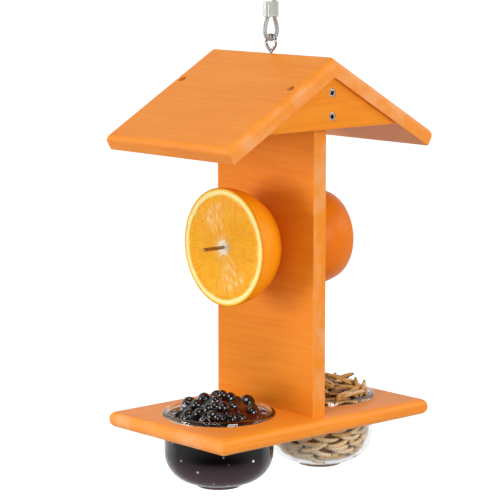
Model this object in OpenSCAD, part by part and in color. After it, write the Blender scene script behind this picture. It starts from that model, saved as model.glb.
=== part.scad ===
// Hanging oriole feeder: a wide post board on a base board with two glass cups,
// a pitched roof on two gable blocks, a fruit skewer through the post, and a
// screw eye in the ridge that hangs on a crimped cable.
// X runs along the ridge, Y along the base board and Z up. The origin is where
// a hook bears inside the cable's upper loop.

/* [Boards] */
// Thickness of every board
board_t = 13; // [11:0.5:16]
// Radius of the rounded edges of the base and the roof
edge_r = 5.5; // [2:0.5:5.5]
// Radius of the eased corners of the post
ease_r = 1; // [0.5:0.1:2]

/* [Base] */
// Wood left beside each cup, at the long sides
side_margin = 23.5; // [14:0.5:40]
// Wood left past each cup, at the ends
end_margin = 11; // [8:0.5:30]
// Gap between a cup's rim and the post
cup_gap = 3.5; // [1:0.5:15]

/* [Post] */
// Width of the post board
post_w = 112; // [95:1:125]
// Height of the ridge above the base board
ridge_h = 278; // [260:1:320]

/* [Roof] */
// Slope of the roof boards
roof_pitch = 30; // [24:1:36]
// Length of a roof board from the ridge to the eave
roof_slant = 124.5; // [112:0.5:150]
// Overhang of the roof past each gable block
roof_overhang = 3; // [1:0.5:15]
// Height of a gable block
gable_h = 39; // [35:0.5:44]

/* [Screws] */
// Diameter of the screw shanks
screw_d = 3.5; // [2.5:0.1:4]
// Diameter of the screw heads
head_d = 6.4; // [5.5:0.1:8]
// Length of the screws through the gable blocks
gable_screw_l = 36; // [26:1:42]
// Height of the upper gable screw below the block's peak
gable_screw_drop = 11.5; // [10:0.5:14]
// Distance between the two screws of a gable block
gable_screw_gap = 18; // [12:0.5:19]
// Length of the screws through the roof boards
roof_screw_l = 22; // [16:1:24]
// Distance of the roof screws from the ridge
roof_screw_u = 43; // [34:1:48]
// Depth of the holes that sink the roof screws
roof_sink = 4; // [2:0.5:5]
// Length of the screws up through the base board
base_screw_l = 40; // [25:1:60]
// Distance between the two base screws
base_screw_gap = 60; // [30:1:80]

/* [Fruit] */
// Diameter of the skewer
skewer_d = 2.8; // [2:0.1:4]
// Height of the skewer above the base board
skewer_z = 131; // [115:1:160]
// Bare length of the skewer past each cut face
skewer_free = 20; // [10:1:30]
// Radius of the front orange half
orange_r = 46; // [36:0.5:48]
// Radius of the back orange piece
small_orange_r = 38.5; // [34:0.5:46]
// How far past its widest place the back orange is cut
small_orange_past = 14.5; // [0:0.5:16]
// Radius of the flat on an orange's pole
orange_flat = 3; // [1:0.5:5]
// Thickness of the peel
peel_t = 4.5; // [3:0.5:7]
// Number of segments in an orange
segments = 10; // [8:1:12]

/* [Cups] */
// Outer radius of a cup's wall
cup_r = 42.5; // [36:0.5:46]
// Thickness of the glass
cup_wall = 2.6; // [2:0.1:4]
// How far the rim stands out past the wall
rim_over = 1.5; // [1:0.1:3]
// Height of the rim bead above the base board
rim_h = 3.6; // [3:0.1:6]
// Depth of a cup below the base board's top
cup_drop = 55.5; // [48:0.5:70]
// Radius of the foot
foot_r = 18.5; // [14:0.5:24]
// Height of the foot ring
foot_h = 3; // [2:0.5:5]
// Clearance of a cup in its hole
hole_clear = 0.5; // [0.2:0.1:0.8]

/* [Food] */
// Rise of the jelly's dome above the jelly's edge
jelly_rise = 10; // [6:0.5:16]
// Diameter of the largest berries
berry_d = 10.4; // [6:0.2:10.4]
// Number of berries
berries = 27; // [12:1:27]
// Rise of the mealworm heap's core above its edge
worm_rise = 15; // [8:0.5:18]
// Diameter of a mealworm at its middle
worm_d = 3.4; // [2.5:0.1:4]
// Length of a mealworm
worm_l = 25; // [18:1:28]
// Number of mealworms on the heap
worms = 30; // [10:1:30]

/* [Hanger] */
// Diameter of the screw eye's wire
eye_wire = 2.4; // [2:0.1:2.8]
// Radius of the eye's round top at the middle of its wire
eye_r = 5.5; // [5.3:0.05:6]
// Height of the eye above the ridge
eye_h = 15.3; // [15.1:0.1:18]
// Lean of the eye's two legs
eye_lean = 48; // [45:1:55]
// Length of the eye's shank from the ridge down
eye_shank = 42; // [25:1:60]
// Diameter of the cable
cable_d = 3.2; // [2.6:0.1:3.2]
// Wall of a ferrule around each strand
ferrule_wall = 1.7; // [1.2:0.1:2]
// Length of a ferrule
ferrule_l = 11.8; // [8:0.1:12]

/* [Hidden] */
$fn = 64;

// Small working clearances
seat = 0.05;
fill_gap = 0.2;
over = 1;

// Cups and base board
rim_r = cup_r + rim_over;
hole_r = cup_r + hole_clear;
cup_y = board_t / 2 + cup_gap + rim_r;
base_w = 2 * (rim_r + side_margin);
base_l = 2 * (cup_y + rim_r + end_margin);
belly_r = cup_r - foot_r;
belly_z = -(cup_drop - foot_h - belly_r);
bead_r = (cup_wall + rim_over) / 2;
bead_z = rim_h - bead_r;

// Roof, gable blocks and post
roof_l = post_w + 2 * board_t + 2 * roof_overhang;
under_ridge = ridge_h - board_t / cos(roof_pitch);
gable_top = under_ridge - seat / cos(roof_pitch);
gable_half = gable_h / tan(roof_pitch);
gable_face = post_w / 2 + board_t;
gable_mid = post_w / 2 + board_t / 2;
post_top = gable_top - board_t / 2 * tan(roof_pitch);

// Screws
screw_r = screw_d / 2;
head_r = head_d / 2;
head_rim = 0.7;
head_h = head_rim + head_r - screw_r;
tip_l = 4;
flush = 0.3;
recess_w = 0.8;
recess_deep = 1.3;
recess_share = 0.55;

// Fruit
skewer_r = skewer_d / 2;
pole_y = board_t / 2 + seat;
cut_y = pole_y + orange_r - orange_flat;
skewer_half = cut_y + skewer_free;
tip_chamfer = 0.5;

// Food
inner_r = cup_r - cup_wall - fill_gap;
fill_z = 1.8;
berry_r = berry_d / 2;
berry_ring = inner_r - berry_r - 0.5;
golden = 137.508;

// Hanger
wire_r = eye_wire / 2;
eye_z = ridge_h + eye_h - wire_r - eye_r;
eye_bend_r = 1.6;
eye_leg = (eye_r * cos(eye_lean) - eye_bend_r * (1 - cos(eye_lean))) / sin(eye_lean);
eye_neck = (eye_bend_r + eye_r) * sin(eye_lean) + eye_leg * cos(eye_lean);
eye_gap = 0.75;
knuckle = 0.1;
knuckle_r = wire_r + 0.06;
cable_r = cable_d / 2;
strand_y = 3.6;
strand_clear = 0.1;
cable_drop = 120;
deck_z = -(cable_drop + eye_z + eye_r - wire_r);
lower_ferrule_z = -93;
upper_ferrule_z = -50;

// Route of the cable from its lower dead end to its upper one, as Y and Z
cable_route = [
    [-3.6, -93], [-3.6, -99], [-3.6, -105], [-4.2, -107], [-5.3, -110], [-6, -113],
    [-6.2, -115.5], [-5.8, -118], [-4.5, -120.2], [-2.4, -121.5], [0, -122],
    [2.4, -121.5], [4.5, -120.2], [5.8, -118], [6.2, -115.5], [6, -113],
    [5.3, -110], [4.2, -107], [3.6, -105], [3.6, -99], [3.6, -92], [3.6, -84],
    [3.6, -76], [3.6, -68], [3.6, -62], [3.6, -56], [3.6, -50], [4.4, -46],
    [6.6, -39], [9, -32], [11, -25], [12, -18], [12, -12], [11, -7], [9, -3],
    [6.2, 0], [3.2, 1.2], [0, 1.6], [-3.2, 1.2], [-6.2, 0], [-9, -3], [-11, -7],
    [-12, -12], [-12, -18], [-11, -25], [-9, -32], [-6.6, -39], [-4.4, -46],
    [-3.6, -50], [-3.6, -56], [-3.6, -61.8]];
cable_sides = 8;

wood = [0.93, 0.55, 0.22];
steel = [0.75, 0.76, 0.78];

// Places what is measured from the base board's top under the hanging point
module hung() { translate([0, 0, deck_z]) children(); }

// A rectangle from the origin's centre with all four corners rounded
module round_rect(w, h, r) {
    square([w - 2 * r, h], center = true);
    square([w, h - 2 * r], center = true);
    for (x = [-1, 1], y = [-1, 1])
        translate([x * (w / 2 - r), y * (h / 2 - r)]) circle(r = r);
}

// A board's section with its top corners rounded, its top on the X axis
module crowned_rect(w, h, r) {
    translate([-w / 2, -h]) square([w, h - r]);
    translate([r - w / 2, -h]) square([w - 2 * r, h]);
    for (x = [-1, 1]) translate([x * (w / 2 - r), -r]) circle(r = r);
}

// A countersunk screw, its head's top at the origin and its point down
module screw(l) {
    difference() {
        rotate_extrude()
            polygon([[0, 0], [head_r, 0], [head_r, -head_rim], [screw_r, -head_h],
                [screw_r, tip_l - l], [0, -l]]);
        for (a = [0, 90]) rotate([0, 0, a])
            translate([-head_r * recess_share, -recess_w / 2, -recess_deep])
                cube([2 * head_r * recess_share, recess_w, recess_deep + over]);
    }
}

// The hole that a countersunk screw fills
module screw_hole(l) {
    rotate_extrude()
        polygon([[0, over], [head_r + seat, over], [head_r + seat, -head_rim],
            [screw_r + seat, -head_h], [screw_r + seat, -l - seat], [0, -l - seat]]);
}

// Places a screw or its hole at one gable block's two screws
module at_gable_screws(side) {
    for (i = [0, 1])
        translate([side * (gable_face - flush), 0,
            gable_top - gable_screw_drop - i * gable_screw_gap])
            rotate([0, side * 90, 0]) children();
}

// Places a screw or its hole at one roof board's two screws
module at_roof_screws(side) {
    for (x = [-1, 1])
        translate([x * gable_mid, 0, ridge_h]) rotate([-side * roof_pitch, 0, 0])
            translate([0, side * roof_screw_u, -roof_sink]) children();
}

// Places a screw or its hole at the two screws under the base
module at_base_screws() {
    for (x = [-1, 1])
        translate([x * base_screw_gap / 2, 0, -board_t + flush])
            rotate([180, 0, 0]) children();
}

module base_board() {
    color(wood) difference() {
        intersection() {
            translate([0, 0, -board_t / 2]) rotate([90, 0, 90])
                linear_extrude(base_w, center = true) round_rect(base_l, board_t, edge_r);
            translate([0, 0, -board_t / 2]) rotate([90, 0, 0])
                linear_extrude(base_l, center = true) round_rect(base_w, board_t, edge_r);
        }
        for (y = [-cup_y, cup_y])
            translate([0, y, -board_t - over]) cylinder(h = board_t + 2 * over, r = hole_r);
        at_base_screws() screw_hole(base_screw_l);
    }
}

module post_board() {
    color(wood) difference() {
        linear_extrude(post_top) round_rect(post_w, board_t, ease_r);
        translate([0, 0, skewer_z]) rotate([90, 0, 0])
            cylinder(h = board_t + 2 * over, r = skewer_r + seat / 2, center = true);
        eye_hole();
        at_base_screws() screw_hole(base_screw_l);
        for (side = [-1, 1]) at_gable_screws(side) screw_hole(gable_screw_l);
    }
}

// The triangular block that carries the roof at one end of the post
module gable_block(side) {
    color(wood) difference() {
        translate([side * gable_mid, 0, 0]) rotate([90, 0, 90])
            linear_extrude(board_t, center = true)
                polygon([[0, gable_top], [gable_half, gable_top - gable_h],
                    [-gable_half, gable_top - gable_h]]);
        at_gable_screws(side) screw_hole(gable_screw_l);
        for (s = [-1, 1]) at_roof_screws(s) screw_hole(roof_screw_l);
    }
}

// A roof board, mitred at the ridge, with its upper edges rounded
module roof_board(side) {
    color(wood) difference() {
        intersection() {
            translate([0, 0, ridge_h]) rotate([-side * roof_pitch, 0, 0]) intersection() {
                rotate([90, 0, 90])
                    linear_extrude(roof_l, center = true)
                        crowned_rect(2 * roof_slant, board_t, edge_r);
                rotate([90, 0, 0])
                    linear_extrude(2 * roof_slant, center = true)
                        crowned_rect(roof_l, board_t, edge_r);
            }
            translate([-roof_l, side > 0 ? 0 : -2 * roof_slant, 0])
                cube([2 * roof_l, 2 * roof_slant, 2 * ridge_h]);
        }
        at_roof_screws(side) {
            screw_hole(roof_screw_l);
            cylinder(h = roof_sink + over, r = head_r + seat);
        }
        eye_hole();
    }
}

module eye_hole() {
    translate([0, 0, ridge_h - eye_shank - seat])
        cylinder(h = eye_shank + over + seat, r = wire_r + seat / 2);
}

// The skewer through the post, its ends chamfered
module fruit_skewer() {
    color(steel) translate([0, 0, skewer_z]) rotate([90, 0, 0]) rotate_extrude()
        polygon([[0, -skewer_half], [skewer_r - tip_chamfer, -skewer_half],
            [skewer_r, tip_chamfer - skewer_half], [skewer_r, skewer_half - tip_chamfer],
            [skewer_r - tip_chamfer, skewer_half], [0, skewer_half]]);
}

// A piece of orange with its cut face outwards and its pole at the post, cut that
// far past its widest place, its segments parted by fine grooves
module orange_piece(side, r, past) {
    groove = 0.6;
    core_r = 5;
    curve = r - orange_flat;
    cut_r = orange_flat + sqrt(pow(curve, 2) - pow(past, 2));
    color([0.96, 0.6, 0.12])
        translate([0, side * (pole_y + curve + past), skewer_z]) rotate([side * 90, 0, 0])
            difference() {
                rotate_extrude() {
                    square([orange_flat, curve + past]);
                    intersection() {
                        translate([orange_flat, past]) circle(r = curve);
                        translate([orange_flat, 0]) square([curve, curve + past]);
                    }
                }
                for (i = [0 : segments - 1]) rotate([0, 0, (i + 0.5) * 360 / segments])
                    translate([core_r, -groove / 2, -over])
                        cube([cut_r - peel_t - core_r, groove, groove + over]);
                translate([0, 0, -over])
                    cylinder(h = curve + past + 2 * over, r = skewer_r + seat);
            }
}

// Section of a cup's hollow body, inset from its outer wall
module cup_section(inset, top) {
    curve = belly_r - inset;
    translate([0, belly_z]) square([cup_r - inset, top - belly_z]);
    translate([0, belly_z - curve]) square([foot_r, curve]);
    intersection() {
        translate([foot_r, belly_z]) circle(r = curve);
        translate([foot_r, belly_z - curve]) square(curve);
    }
}

// A glass cup that hangs in its hole by its rim bead
module glass_cup(side) {
    foot_wall = 3.5;
    color([0.85, 0.92, 0.93, 0.4]) translate([0, side * cup_y, 0]) rotate_extrude()
        difference() {
            union() {
                cup_section(0, bead_z);
                translate([0, -cup_drop]) square([foot_r, foot_h + over]);
                intersection() {
                    union() {
                        translate([cup_r - cup_wall, 0]) square([2 * bead_r, bead_z]);
                        translate([rim_r - bead_r, bead_z]) circle(r = bead_r);
                    }
                    translate([cup_r - cup_wall, 0]) square([2 * bead_r, rim_h]);
                }
            }
            cup_section(cup_wall, bead_z);
            translate([0, bead_z - over]) square([cup_r - cup_wall, rim_h + over]);
            translate([0, -cup_drop - over]) square([foot_r - foot_wall, foot_h / 2 + over]);
        }
}

// A filled cup's contents with a domed top
module domed_fill(rise) {
    dome_r = (pow(inner_r, 2) + pow(rise, 2)) / (2 * rise);
    rotate_extrude() {
        cup_section(cup_wall + fill_gap, fill_z);
        intersection() {
            translate([0, fill_z + rise - dome_r]) circle(r = dome_r, $fn = 128);
            translate([0, fill_z]) square([inner_r, rise]);
        }
    }
}

// Height of a dome of that rise at a distance from its axis
function dome_z(rise, at) =
    let (dome_r = (pow(inner_r, 2) + pow(rise, 2)) / (2 * rise))
    fill_z + rise - dome_r + sqrt(pow(dome_r, 2) - pow(at, 2));

// Berries on a sunflower spiral over the jelly, in three sizes
module berry_heap() {
    for (i = [0 : berries - 1]) {
        at = berry_ring * sqrt((i + 0.5) / berries);
        r = berry_r * (1 - 0.08 * (i % 3));
        rotate([0, 0, i * golden])
            translate([at, 0, dome_z(jelly_rise, at) + r * (0.1 + 0.15 * (i % 2))])
                sphere(r = r);
    }
}

module grape_jelly() {
    color([0.2, 0.03, 0.08]) translate([0, -cup_y, 0]) difference() {
        domed_fill(jelly_rise);
        berry_heap();
    }
}

module whole_berries() {
    color([0.08, 0.03, 0.1]) translate([0, -cup_y, 0]) berry_heap();
}

// Rings of points around a route, each ring square to it; across is a unit
// vector square to the whole route
function tube_points(route, radii, across, sides) = [
    for (i = [0 : len(route) - 1])
        let (a = route[max(i - 1, 0)], b = route[min(i + 1, len(route) - 1)],
            along = (b - a) / norm(b - a), up = cross(across, along))
        for (k = [0 : sides - 1])
            route[i] + radii[i] * (cos(360 * k / sides) * across + sin(360 * k / sides) * up)];

// A closed tube along a route
module tube(route, radii, across, sides) {
    rings = len(route);
    walls = [for (i = [0 : rings - 2], k = [0 : sides - 1])
        let (n = (k + 1) % sides)
        [i * sides + k, i * sides + n, (i + 1) * sides + n, (i + 1) * sides + k]];
    ends = [[for (k = [sides - 1 : -1 : 0]) k],
        [for (k = [0 : sides - 1]) (rings - 1) * sides + k]];
    polyhedron(tube_points(route, radii, across, sides), concat(walls, ends));
}

// One mealworm, curved in its own plane, tapered to both ends
module mealworm(bend) {
    steps = 6;
    radius = worm_l / bend * 180 / PI;
    shares = [for (i = [0 : steps]) i / steps - 0.5];
    route = [for (s = shares) [radius * sin(bend * s), radius * (cos(bend * s) - 1), 0]];
    radii = [for (s = shares) worm_d / 2 * (1 - 2.4 * s * s)];
    tube(route, radii, [0, 0, 1], 6);
}

// Mealworms heaped over the rim of the back cup
module dried_mealworms() {
    heap_r = inner_r - worm_l * 0.36;
    color([0.72, 0.5, 0.28]) translate([0, cup_y, 0]) {
        domed_fill(worm_rise);
        for (i = [0 : worms - 1]) {
            at = heap_r * sqrt((i + 0.5) / worms);
            rotate([0, 0, i * golden])
                translate([at, 0, dome_z(worm_rise, at) + worm_d * 0.3])
                    rotate([0, asin(at / inner_r) * 0.4, 0])
                        rotate([(i % 5 - 2) * 9, 0, i * 67]) mealworm(40 + 25 * (i % 3));
        }
    }
}

// A rod bent to an arc in the XZ plane, from one angle to another
module bent_rod(r, from, to) {
    rotate([90, 0, 0]) rotate([0, 0, from]) rotate_extrude(angle = to - from)
        translate([r, 0]) circle(r = wire_r);
}

// A straight rod from a knuckle at the origin, leaning from +Z towards +X
module leaning_rod(l, lean) {
    sphere(r = knuckle_r);
    rotate([0, lean, 0]) translate([0, 0, knuckle]) cylinder(h = l - knuckle, r = wire_r);
}

// The screw eye: one wire bent round into a teardrop on a pointed shank
module screw_eye() {
    shank = eye_z - eye_neck - ridge_h + eye_shank;
    turn = knuckle_turn(eye_bend_r);
    color(steel) translate([0, 0, eye_z]) {
        bent_rod(eye_r, knuckle_turn(eye_r) - eye_lean, 180 + eye_lean - knuckle_turn(eye_r));
        translate([-eye_r * cos(eye_lean), 0, -eye_r * sin(eye_lean)])
            leaning_rod(eye_leg - eye_gap, 180 - eye_lean);
        translate([eye_r * cos(eye_lean), 0, -eye_r * sin(eye_lean)])
            leaning_rod(eye_leg - knuckle, 180 + eye_lean);
        translate([eye_bend_r, 0, -eye_neck]) {
            bent_rod(eye_bend_r, 180 - eye_lean + turn, 180 - turn);
            translate([-eye_bend_r * cos(eye_lean), 0, eye_bend_r * sin(eye_lean)])
                sphere(r = knuckle_r);
        }
        translate([0, 0, -eye_neck]) {
            sphere(r = knuckle_r);
            mirror([0, 0, 1]) rotate_extrude()
                polygon([[0, knuckle], [wire_r, knuckle], [wire_r, shank - tip_l],
                    [0, shank]]);
        }
    }
}

// The angle that a bend of that radius stops short of a knuckle's middle
function knuckle_turn(r) = knuckle / r * 180 / PI;

module hanging_cable() {
    color([0.62, 0.63, 0.64])
        tube([for (p = cable_route) [0, p[0], p[1]]], [for (p = cable_route) cable_r],
            [1, 0, 0], cable_sides);
}

// An oval sleeve pressed round the cable's two strands
module ferrule(top) {
    lobe = cable_r + ferrule_wall;
    color([0.8, 0.81, 0.83]) translate([0, 0, top - ferrule_l]) difference() {
        union() {
            for (y = [-strand_y, strand_y]) translate([0, y, 0])
                cylinder(h = ferrule_l, r = lobe);
            translate([-lobe * 0.9, -strand_y, 0])
                cube([lobe * 1.8, 2 * strand_y, ferrule_l]);
        }
        for (y = [-strand_y, strand_y]) translate([0, y, -over])
            cylinder(h = ferrule_l + 2 * over, r = cable_r + strand_clear);
    }
}

hung() base_board();
hung() post_board();
hung() gable_block(1);  // gable_block_right
hung() gable_block(-1);  // gable_block_left
hung() roof_board(-1);  // roof_board_front
hung() roof_board(1);  // roof_board_back
hung() color(steel) at_gable_screws(1) screw(gable_screw_l);  // gable_screws_right
hung() color(steel) at_gable_screws(-1) screw(gable_screw_l);  // gable_screws_left
hung() color(steel) at_roof_screws(-1) screw(roof_screw_l);  // roof_screws_front
hung() color(steel) at_roof_screws(1) screw(roof_screw_l);  // roof_screws_back
hung() color(steel) at_base_screws() screw(base_screw_l);  // base_screws
hung() fruit_skewer();
hung() orange_piece(-1, orange_r, 0);  // orange_half_front
hung() orange_piece(1, small_orange_r, small_orange_past);  // orange_half_back
hung() glass_cup(-1);  // glass_cup_front
hung() glass_cup(1);  // glass_cup_back
hung() grape_jelly();
hung() whole_berries();
hung() dried_mealworms();
hung() screw_eye();
hanging_cable();
ferrule(lower_ferrule_z);  // lower_ferrule
ferrule(upper_ferrule_z);  // upper_ferrule
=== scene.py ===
"""The looks of a hanging oriole feeder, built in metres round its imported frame."""

import logging
import math
import random
from contextlib import contextmanager
from dataclasses import dataclass
from enum import Enum
from itertools import pairwise
from typing import Any, Callable, Iterable, Iterator, Sequence

import bmesh
import bpy
from bpy.types import Material, Node, NodeSocket, NodeTree, Object
from mathutils import Matrix, Vector, noise

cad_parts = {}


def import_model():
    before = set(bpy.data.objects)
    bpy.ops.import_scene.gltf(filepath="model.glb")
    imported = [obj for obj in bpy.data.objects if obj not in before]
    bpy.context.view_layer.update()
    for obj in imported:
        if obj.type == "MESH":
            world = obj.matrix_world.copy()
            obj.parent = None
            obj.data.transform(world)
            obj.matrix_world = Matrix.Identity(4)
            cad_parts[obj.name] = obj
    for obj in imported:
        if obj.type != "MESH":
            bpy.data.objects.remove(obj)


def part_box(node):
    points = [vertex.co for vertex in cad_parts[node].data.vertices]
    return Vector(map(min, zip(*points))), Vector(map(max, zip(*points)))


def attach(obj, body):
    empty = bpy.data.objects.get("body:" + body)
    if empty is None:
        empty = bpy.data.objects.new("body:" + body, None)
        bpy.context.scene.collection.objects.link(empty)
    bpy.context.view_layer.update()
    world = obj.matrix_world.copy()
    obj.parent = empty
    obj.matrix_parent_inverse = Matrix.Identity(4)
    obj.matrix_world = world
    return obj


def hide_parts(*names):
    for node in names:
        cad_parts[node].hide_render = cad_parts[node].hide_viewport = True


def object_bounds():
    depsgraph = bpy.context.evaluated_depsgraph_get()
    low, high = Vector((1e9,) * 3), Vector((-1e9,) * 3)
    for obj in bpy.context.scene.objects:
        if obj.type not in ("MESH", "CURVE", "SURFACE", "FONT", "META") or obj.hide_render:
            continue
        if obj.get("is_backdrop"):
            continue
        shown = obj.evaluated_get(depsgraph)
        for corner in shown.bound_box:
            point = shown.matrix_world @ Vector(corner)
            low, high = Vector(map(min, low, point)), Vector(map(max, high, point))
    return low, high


LOG = logging.getLogger("feeder")
HANGER = "hanger"
FEEDER = "feeder"
MM_PER_M = 1000
FULL_TURN = 2 * math.pi
QUARTER_TURN = math.pi / 2
GOLDEN_TURN = math.radians(137.508)
WHITE = (1.0, 1.0, 1.0)
# Places less than this many metres apart are the same, or near enough level
SAME = 1e-6
NEAR = 1e-5
# Mesh attributes that the finishes read
END_GRAIN = "end_grain"
ALONG = "along"
# Each worm's own tone, with painted shade and light added to it
TONE_AND_SHADING = "tone"
Colour = tuple[float, float, float]
Place = tuple[float, float, float]


class Domain(Enum):
    """The kinds of element that a selection picks, as edit mode names them."""

    VERT = "VERT"
    EDGE = "EDGE"
    FACE = "FACE"


class Side(Enum):
    """Which way a paired piece lies: the front is at -Y and the left at -X."""

    FRONT = -1
    BACK = 1
    LEFT = -2
    RIGHT = 2

    @property
    def sign(self) -> int:
        """-1 or 1, the direction along its axis."""
        return 1 if self.value > 0 else -1

    @property
    def label(self) -> str:
        """The side's name as the nodes use it."""
        return self.name.lower()


# Working with objects and edit mode


def clear_selection() -> None:
    """Leaves object mode with nothing selected."""
    if bpy.context.mode != "OBJECT":
        bpy.ops.object.mode_set(mode="OBJECT")
    bpy.ops.object.select_all(action="DESELECT")


def take(*pieces: Object) -> Object:
    """Selects these pieces alone and makes the first one active.

    Args:
        pieces: The pieces to select.

    Returns:
        The first piece.
    """
    clear_selection()
    for piece in pieces:
        piece.select_set(True)
    bpy.context.view_layer.objects.active = pieces[0]
    return pieces[0]


@contextmanager
def editing(piece: Object, domain: Domain = Domain.VERT) -> Iterator[None]:
    """Opens a piece in edit mode with nothing selected, and leaves edit mode after.

    Args:
        piece: The mesh to edit.
        domain: What the selection works on.

    Yields:
        Nothing; the piece is open while the block runs.
    """
    take(piece)
    bpy.ops.object.mode_set(mode="EDIT")
    bpy.ops.mesh.select_mode(type=domain.value)
    bpy.ops.mesh.select_all(action="DESELECT")
    yield
    bpy.ops.object.mode_set(mode="OBJECT")


def pick(piece: Object, domain: Domain, test: Callable[[Any], bool]) -> int:
    """Selects the elements of a piece in edit mode that pass a test.

    Args:
        piece: The mesh in edit mode.
        domain: Vertices, edges or faces.
        test: Says of one bmesh element whether it is wanted.

    Returns:
        How many elements were selected.
    """
    bpy.ops.mesh.select_mode(type=domain.value)
    bpy.ops.mesh.select_all(action="DESELECT")
    mesh = bmesh.from_edit_mesh(piece.data)
    parts = {Domain.VERT: mesh.verts, Domain.EDGE: mesh.edges, Domain.FACE: mesh.faces}[domain]
    wanted = [part for part in parts if test(part)]
    for part in wanted:
        part.select_set(True)
    mesh.select_flush_mode()
    bmesh.update_edit_mesh(piece.data)
    return len(wanted)


def place_in_mesh(piece: Object) -> Object:
    """Moves a piece's place, turn and scale into its mesh.

    Args:
        piece: The piece, which ends at the origin.

    Returns:
        The piece.
    """
    take(piece)
    bpy.ops.object.transform_apply(location=True, rotation=True, scale=True)
    return piece


def box_piece(name: str, low: Sequence[float], high: Sequence[float]) -> Object:
    """Adds a box between two corners.

    Args:
        name: The piece's name.
        low: Its lowest corner.
        high: Its highest corner.

    Returns:
        The new piece, its place in its mesh.
    """
    clear_selection()
    low, high = Vector(low), Vector(high)
    bpy.ops.mesh.primitive_cube_add(size=1, location=(low + high) / 2, scale=high - low)
    piece = bpy.context.object
    piece.name = name
    return place_in_mesh(piece)


def rod_piece(name: str, radius: float, start: Vector, end: Vector, vertices: int = 48) -> Object:
    """Adds a cylinder from one point to another.

    Args:
        name: The piece's name.
        radius: Its radius.
        start: The middle of its first end.
        end: The middle of its other end.
        vertices: How many sides it has.

    Returns:
        The new piece, its place in its mesh.
    """
    clear_selection()
    along = end - start
    turn = along.to_track_quat("Z", "Y").to_euler()
    bpy.ops.mesh.primitive_cylinder_add(
        vertices=vertices, radius=radius, depth=along.length, location=(start + end) / 2, rotation=turn
    )
    piece = bpy.context.object
    piece.name = name
    return place_in_mesh(piece)


def turned_piece(name: str, profile: Sequence[tuple[float, float]], steps: int) -> Object:
    """Turns a profile about Z at the origin, as on a lathe.

    Args:
        name: The piece's name.
        profile: Radius and height of each point of the profile.
        steps: How many steps one turn has.

    Returns:
        The new piece, its normals outwards.
    """
    clear_selection()
    bpy.ops.mesh.primitive_plane_add(size=0.001, location=(0, 0, 0))
    piece = bpy.context.object
    piece.name = name
    points = [Vector((radius, 0, height)) for radius, height in profile]
    bpy.ops.object.mode_set(mode="EDIT")
    bpy.ops.mesh.select_mode(type="VERT")
    bpy.ops.mesh.select_all(action="SELECT")
    bpy.ops.mesh.merge(type="CENTER")
    bpy.ops.transform.translate(value=points[0])
    for a, b in pairwise(points):
        bpy.ops.mesh.extrude_region_move(TRANSFORM_OT_translate={"value": b - a})
    bpy.ops.mesh.select_all(action="SELECT")
    bpy.ops.mesh.spin(steps=steps, angle=FULL_TURN, center=(0, 0, 0), axis=(0, 0, 1))
    bpy.ops.mesh.select_all(action="SELECT")
    bpy.ops.mesh.remove_doubles(threshold=SAME)
    bpy.ops.mesh.normals_make_consistent(inside=False)
    bpy.ops.object.mode_set(mode="OBJECT")
    return piece


def arc(
    centre: tuple[float, float], radius: float, start_deg: float, end_deg: float, steps: int
) -> list[tuple[float, float]]:
    """Points along an arc of a turned profile.

    Args:
        centre: Radius and height of the arc's middle.
        radius: The arc's own radius.
        start_deg: Where it starts, 0 being outwards and 90 up.
        end_deg: Where it ends.
        steps: How many stretches it has.

    Returns:
        The points, both ends included.
    """
    turns = [math.radians(start_deg + (end_deg - start_deg) * i / steps) for i in range(steps + 1)]
    return [(centre[0] + radius * math.cos(t), centre[1] + radius * math.sin(t)) for t in turns]


def put(piece: Object, spot: Sequence[float], turn: Sequence[float] = (0, 0, 0)) -> Object:
    """Turns a piece about the origin, moves it to its spot and keeps both in its mesh.

    Args:
        piece: The piece to place.
        spot: Where the origin of its mesh goes.
        turn: Its turns about X, Y and Z.

    Returns:
        The piece.
    """
    piece.rotation_euler = turn
    piece.location = spot
    return place_in_mesh(piece)


def cut_away(piece: Object, cutter: Object) -> None:
    """Cuts one piece out of another and deletes the cutter.

    Args:
        piece: The piece that stays.
        cutter: The piece that is cut out of it.
    """
    take(piece)
    change = piece.modifiers.new("cut", "BOOLEAN")
    change.operation = "DIFFERENCE"
    change.solver = "EXACT"
    change.object = cutter
    bpy.ops.object.modifier_apply(modifier=change.name)
    remove(cutter)


def drill(piece: Object, radius: float, start: Vector, end: Vector, vertices: int = 48) -> None:
    """Cuts a round hole through a piece from one point to another."""
    cut_away(piece, rod_piece("hole", radius, start, end, vertices))


def is_level(edge: Any) -> bool:
    """Whether both ends of an edge lie at one height."""
    return abs(edge.verts[0].co.z - edge.verts[1].co.z) < SAME


def all_at(edge: Any, axis: int, level: float) -> bool:
    """Whether both ends of an edge lie at a level along an axis."""
    return all(abs(v.co[axis] - level) < SAME for v in edge.verts)


def round_edges(piece: Object, radius: float, segments: int, test: Callable[[Any], bool]) -> None:
    """Rounds the edges of a piece that pass a test.

    Args:
        piece: The mesh to change.
        radius: Radius of the rounding.
        segments: How many strips the rounding has.
        test: Says of one edge whether it is rounded.
    """
    with editing(piece, Domain.EDGE):
        if pick(piece, Domain.EDGE, test):
            bpy.ops.mesh.bevel(
                offset=radius, offset_type="OFFSET", segments=segments, profile=0.5, affect="EDGES"
            )


def smooth(piece: Object, angle_deg: float = 32, weighted: bool = True) -> None:
    """Shades a piece smooth up to an angle.

    Args:
        piece: The mesh to shade.
        angle_deg: Edges sharper than this stay sharp.
        weighted: Whether large faces keep flat shading beside small roundings.
    """
    take(piece)
    bpy.ops.object.shade_smooth_by_angle(angle=math.radians(angle_deg))
    if weighted:
        change = piece.modifiers.new("flat faces", "WEIGHTED_NORMAL")
        change.keep_sharp = True
        bpy.ops.object.modifier_apply(modifier=change.name)


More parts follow.
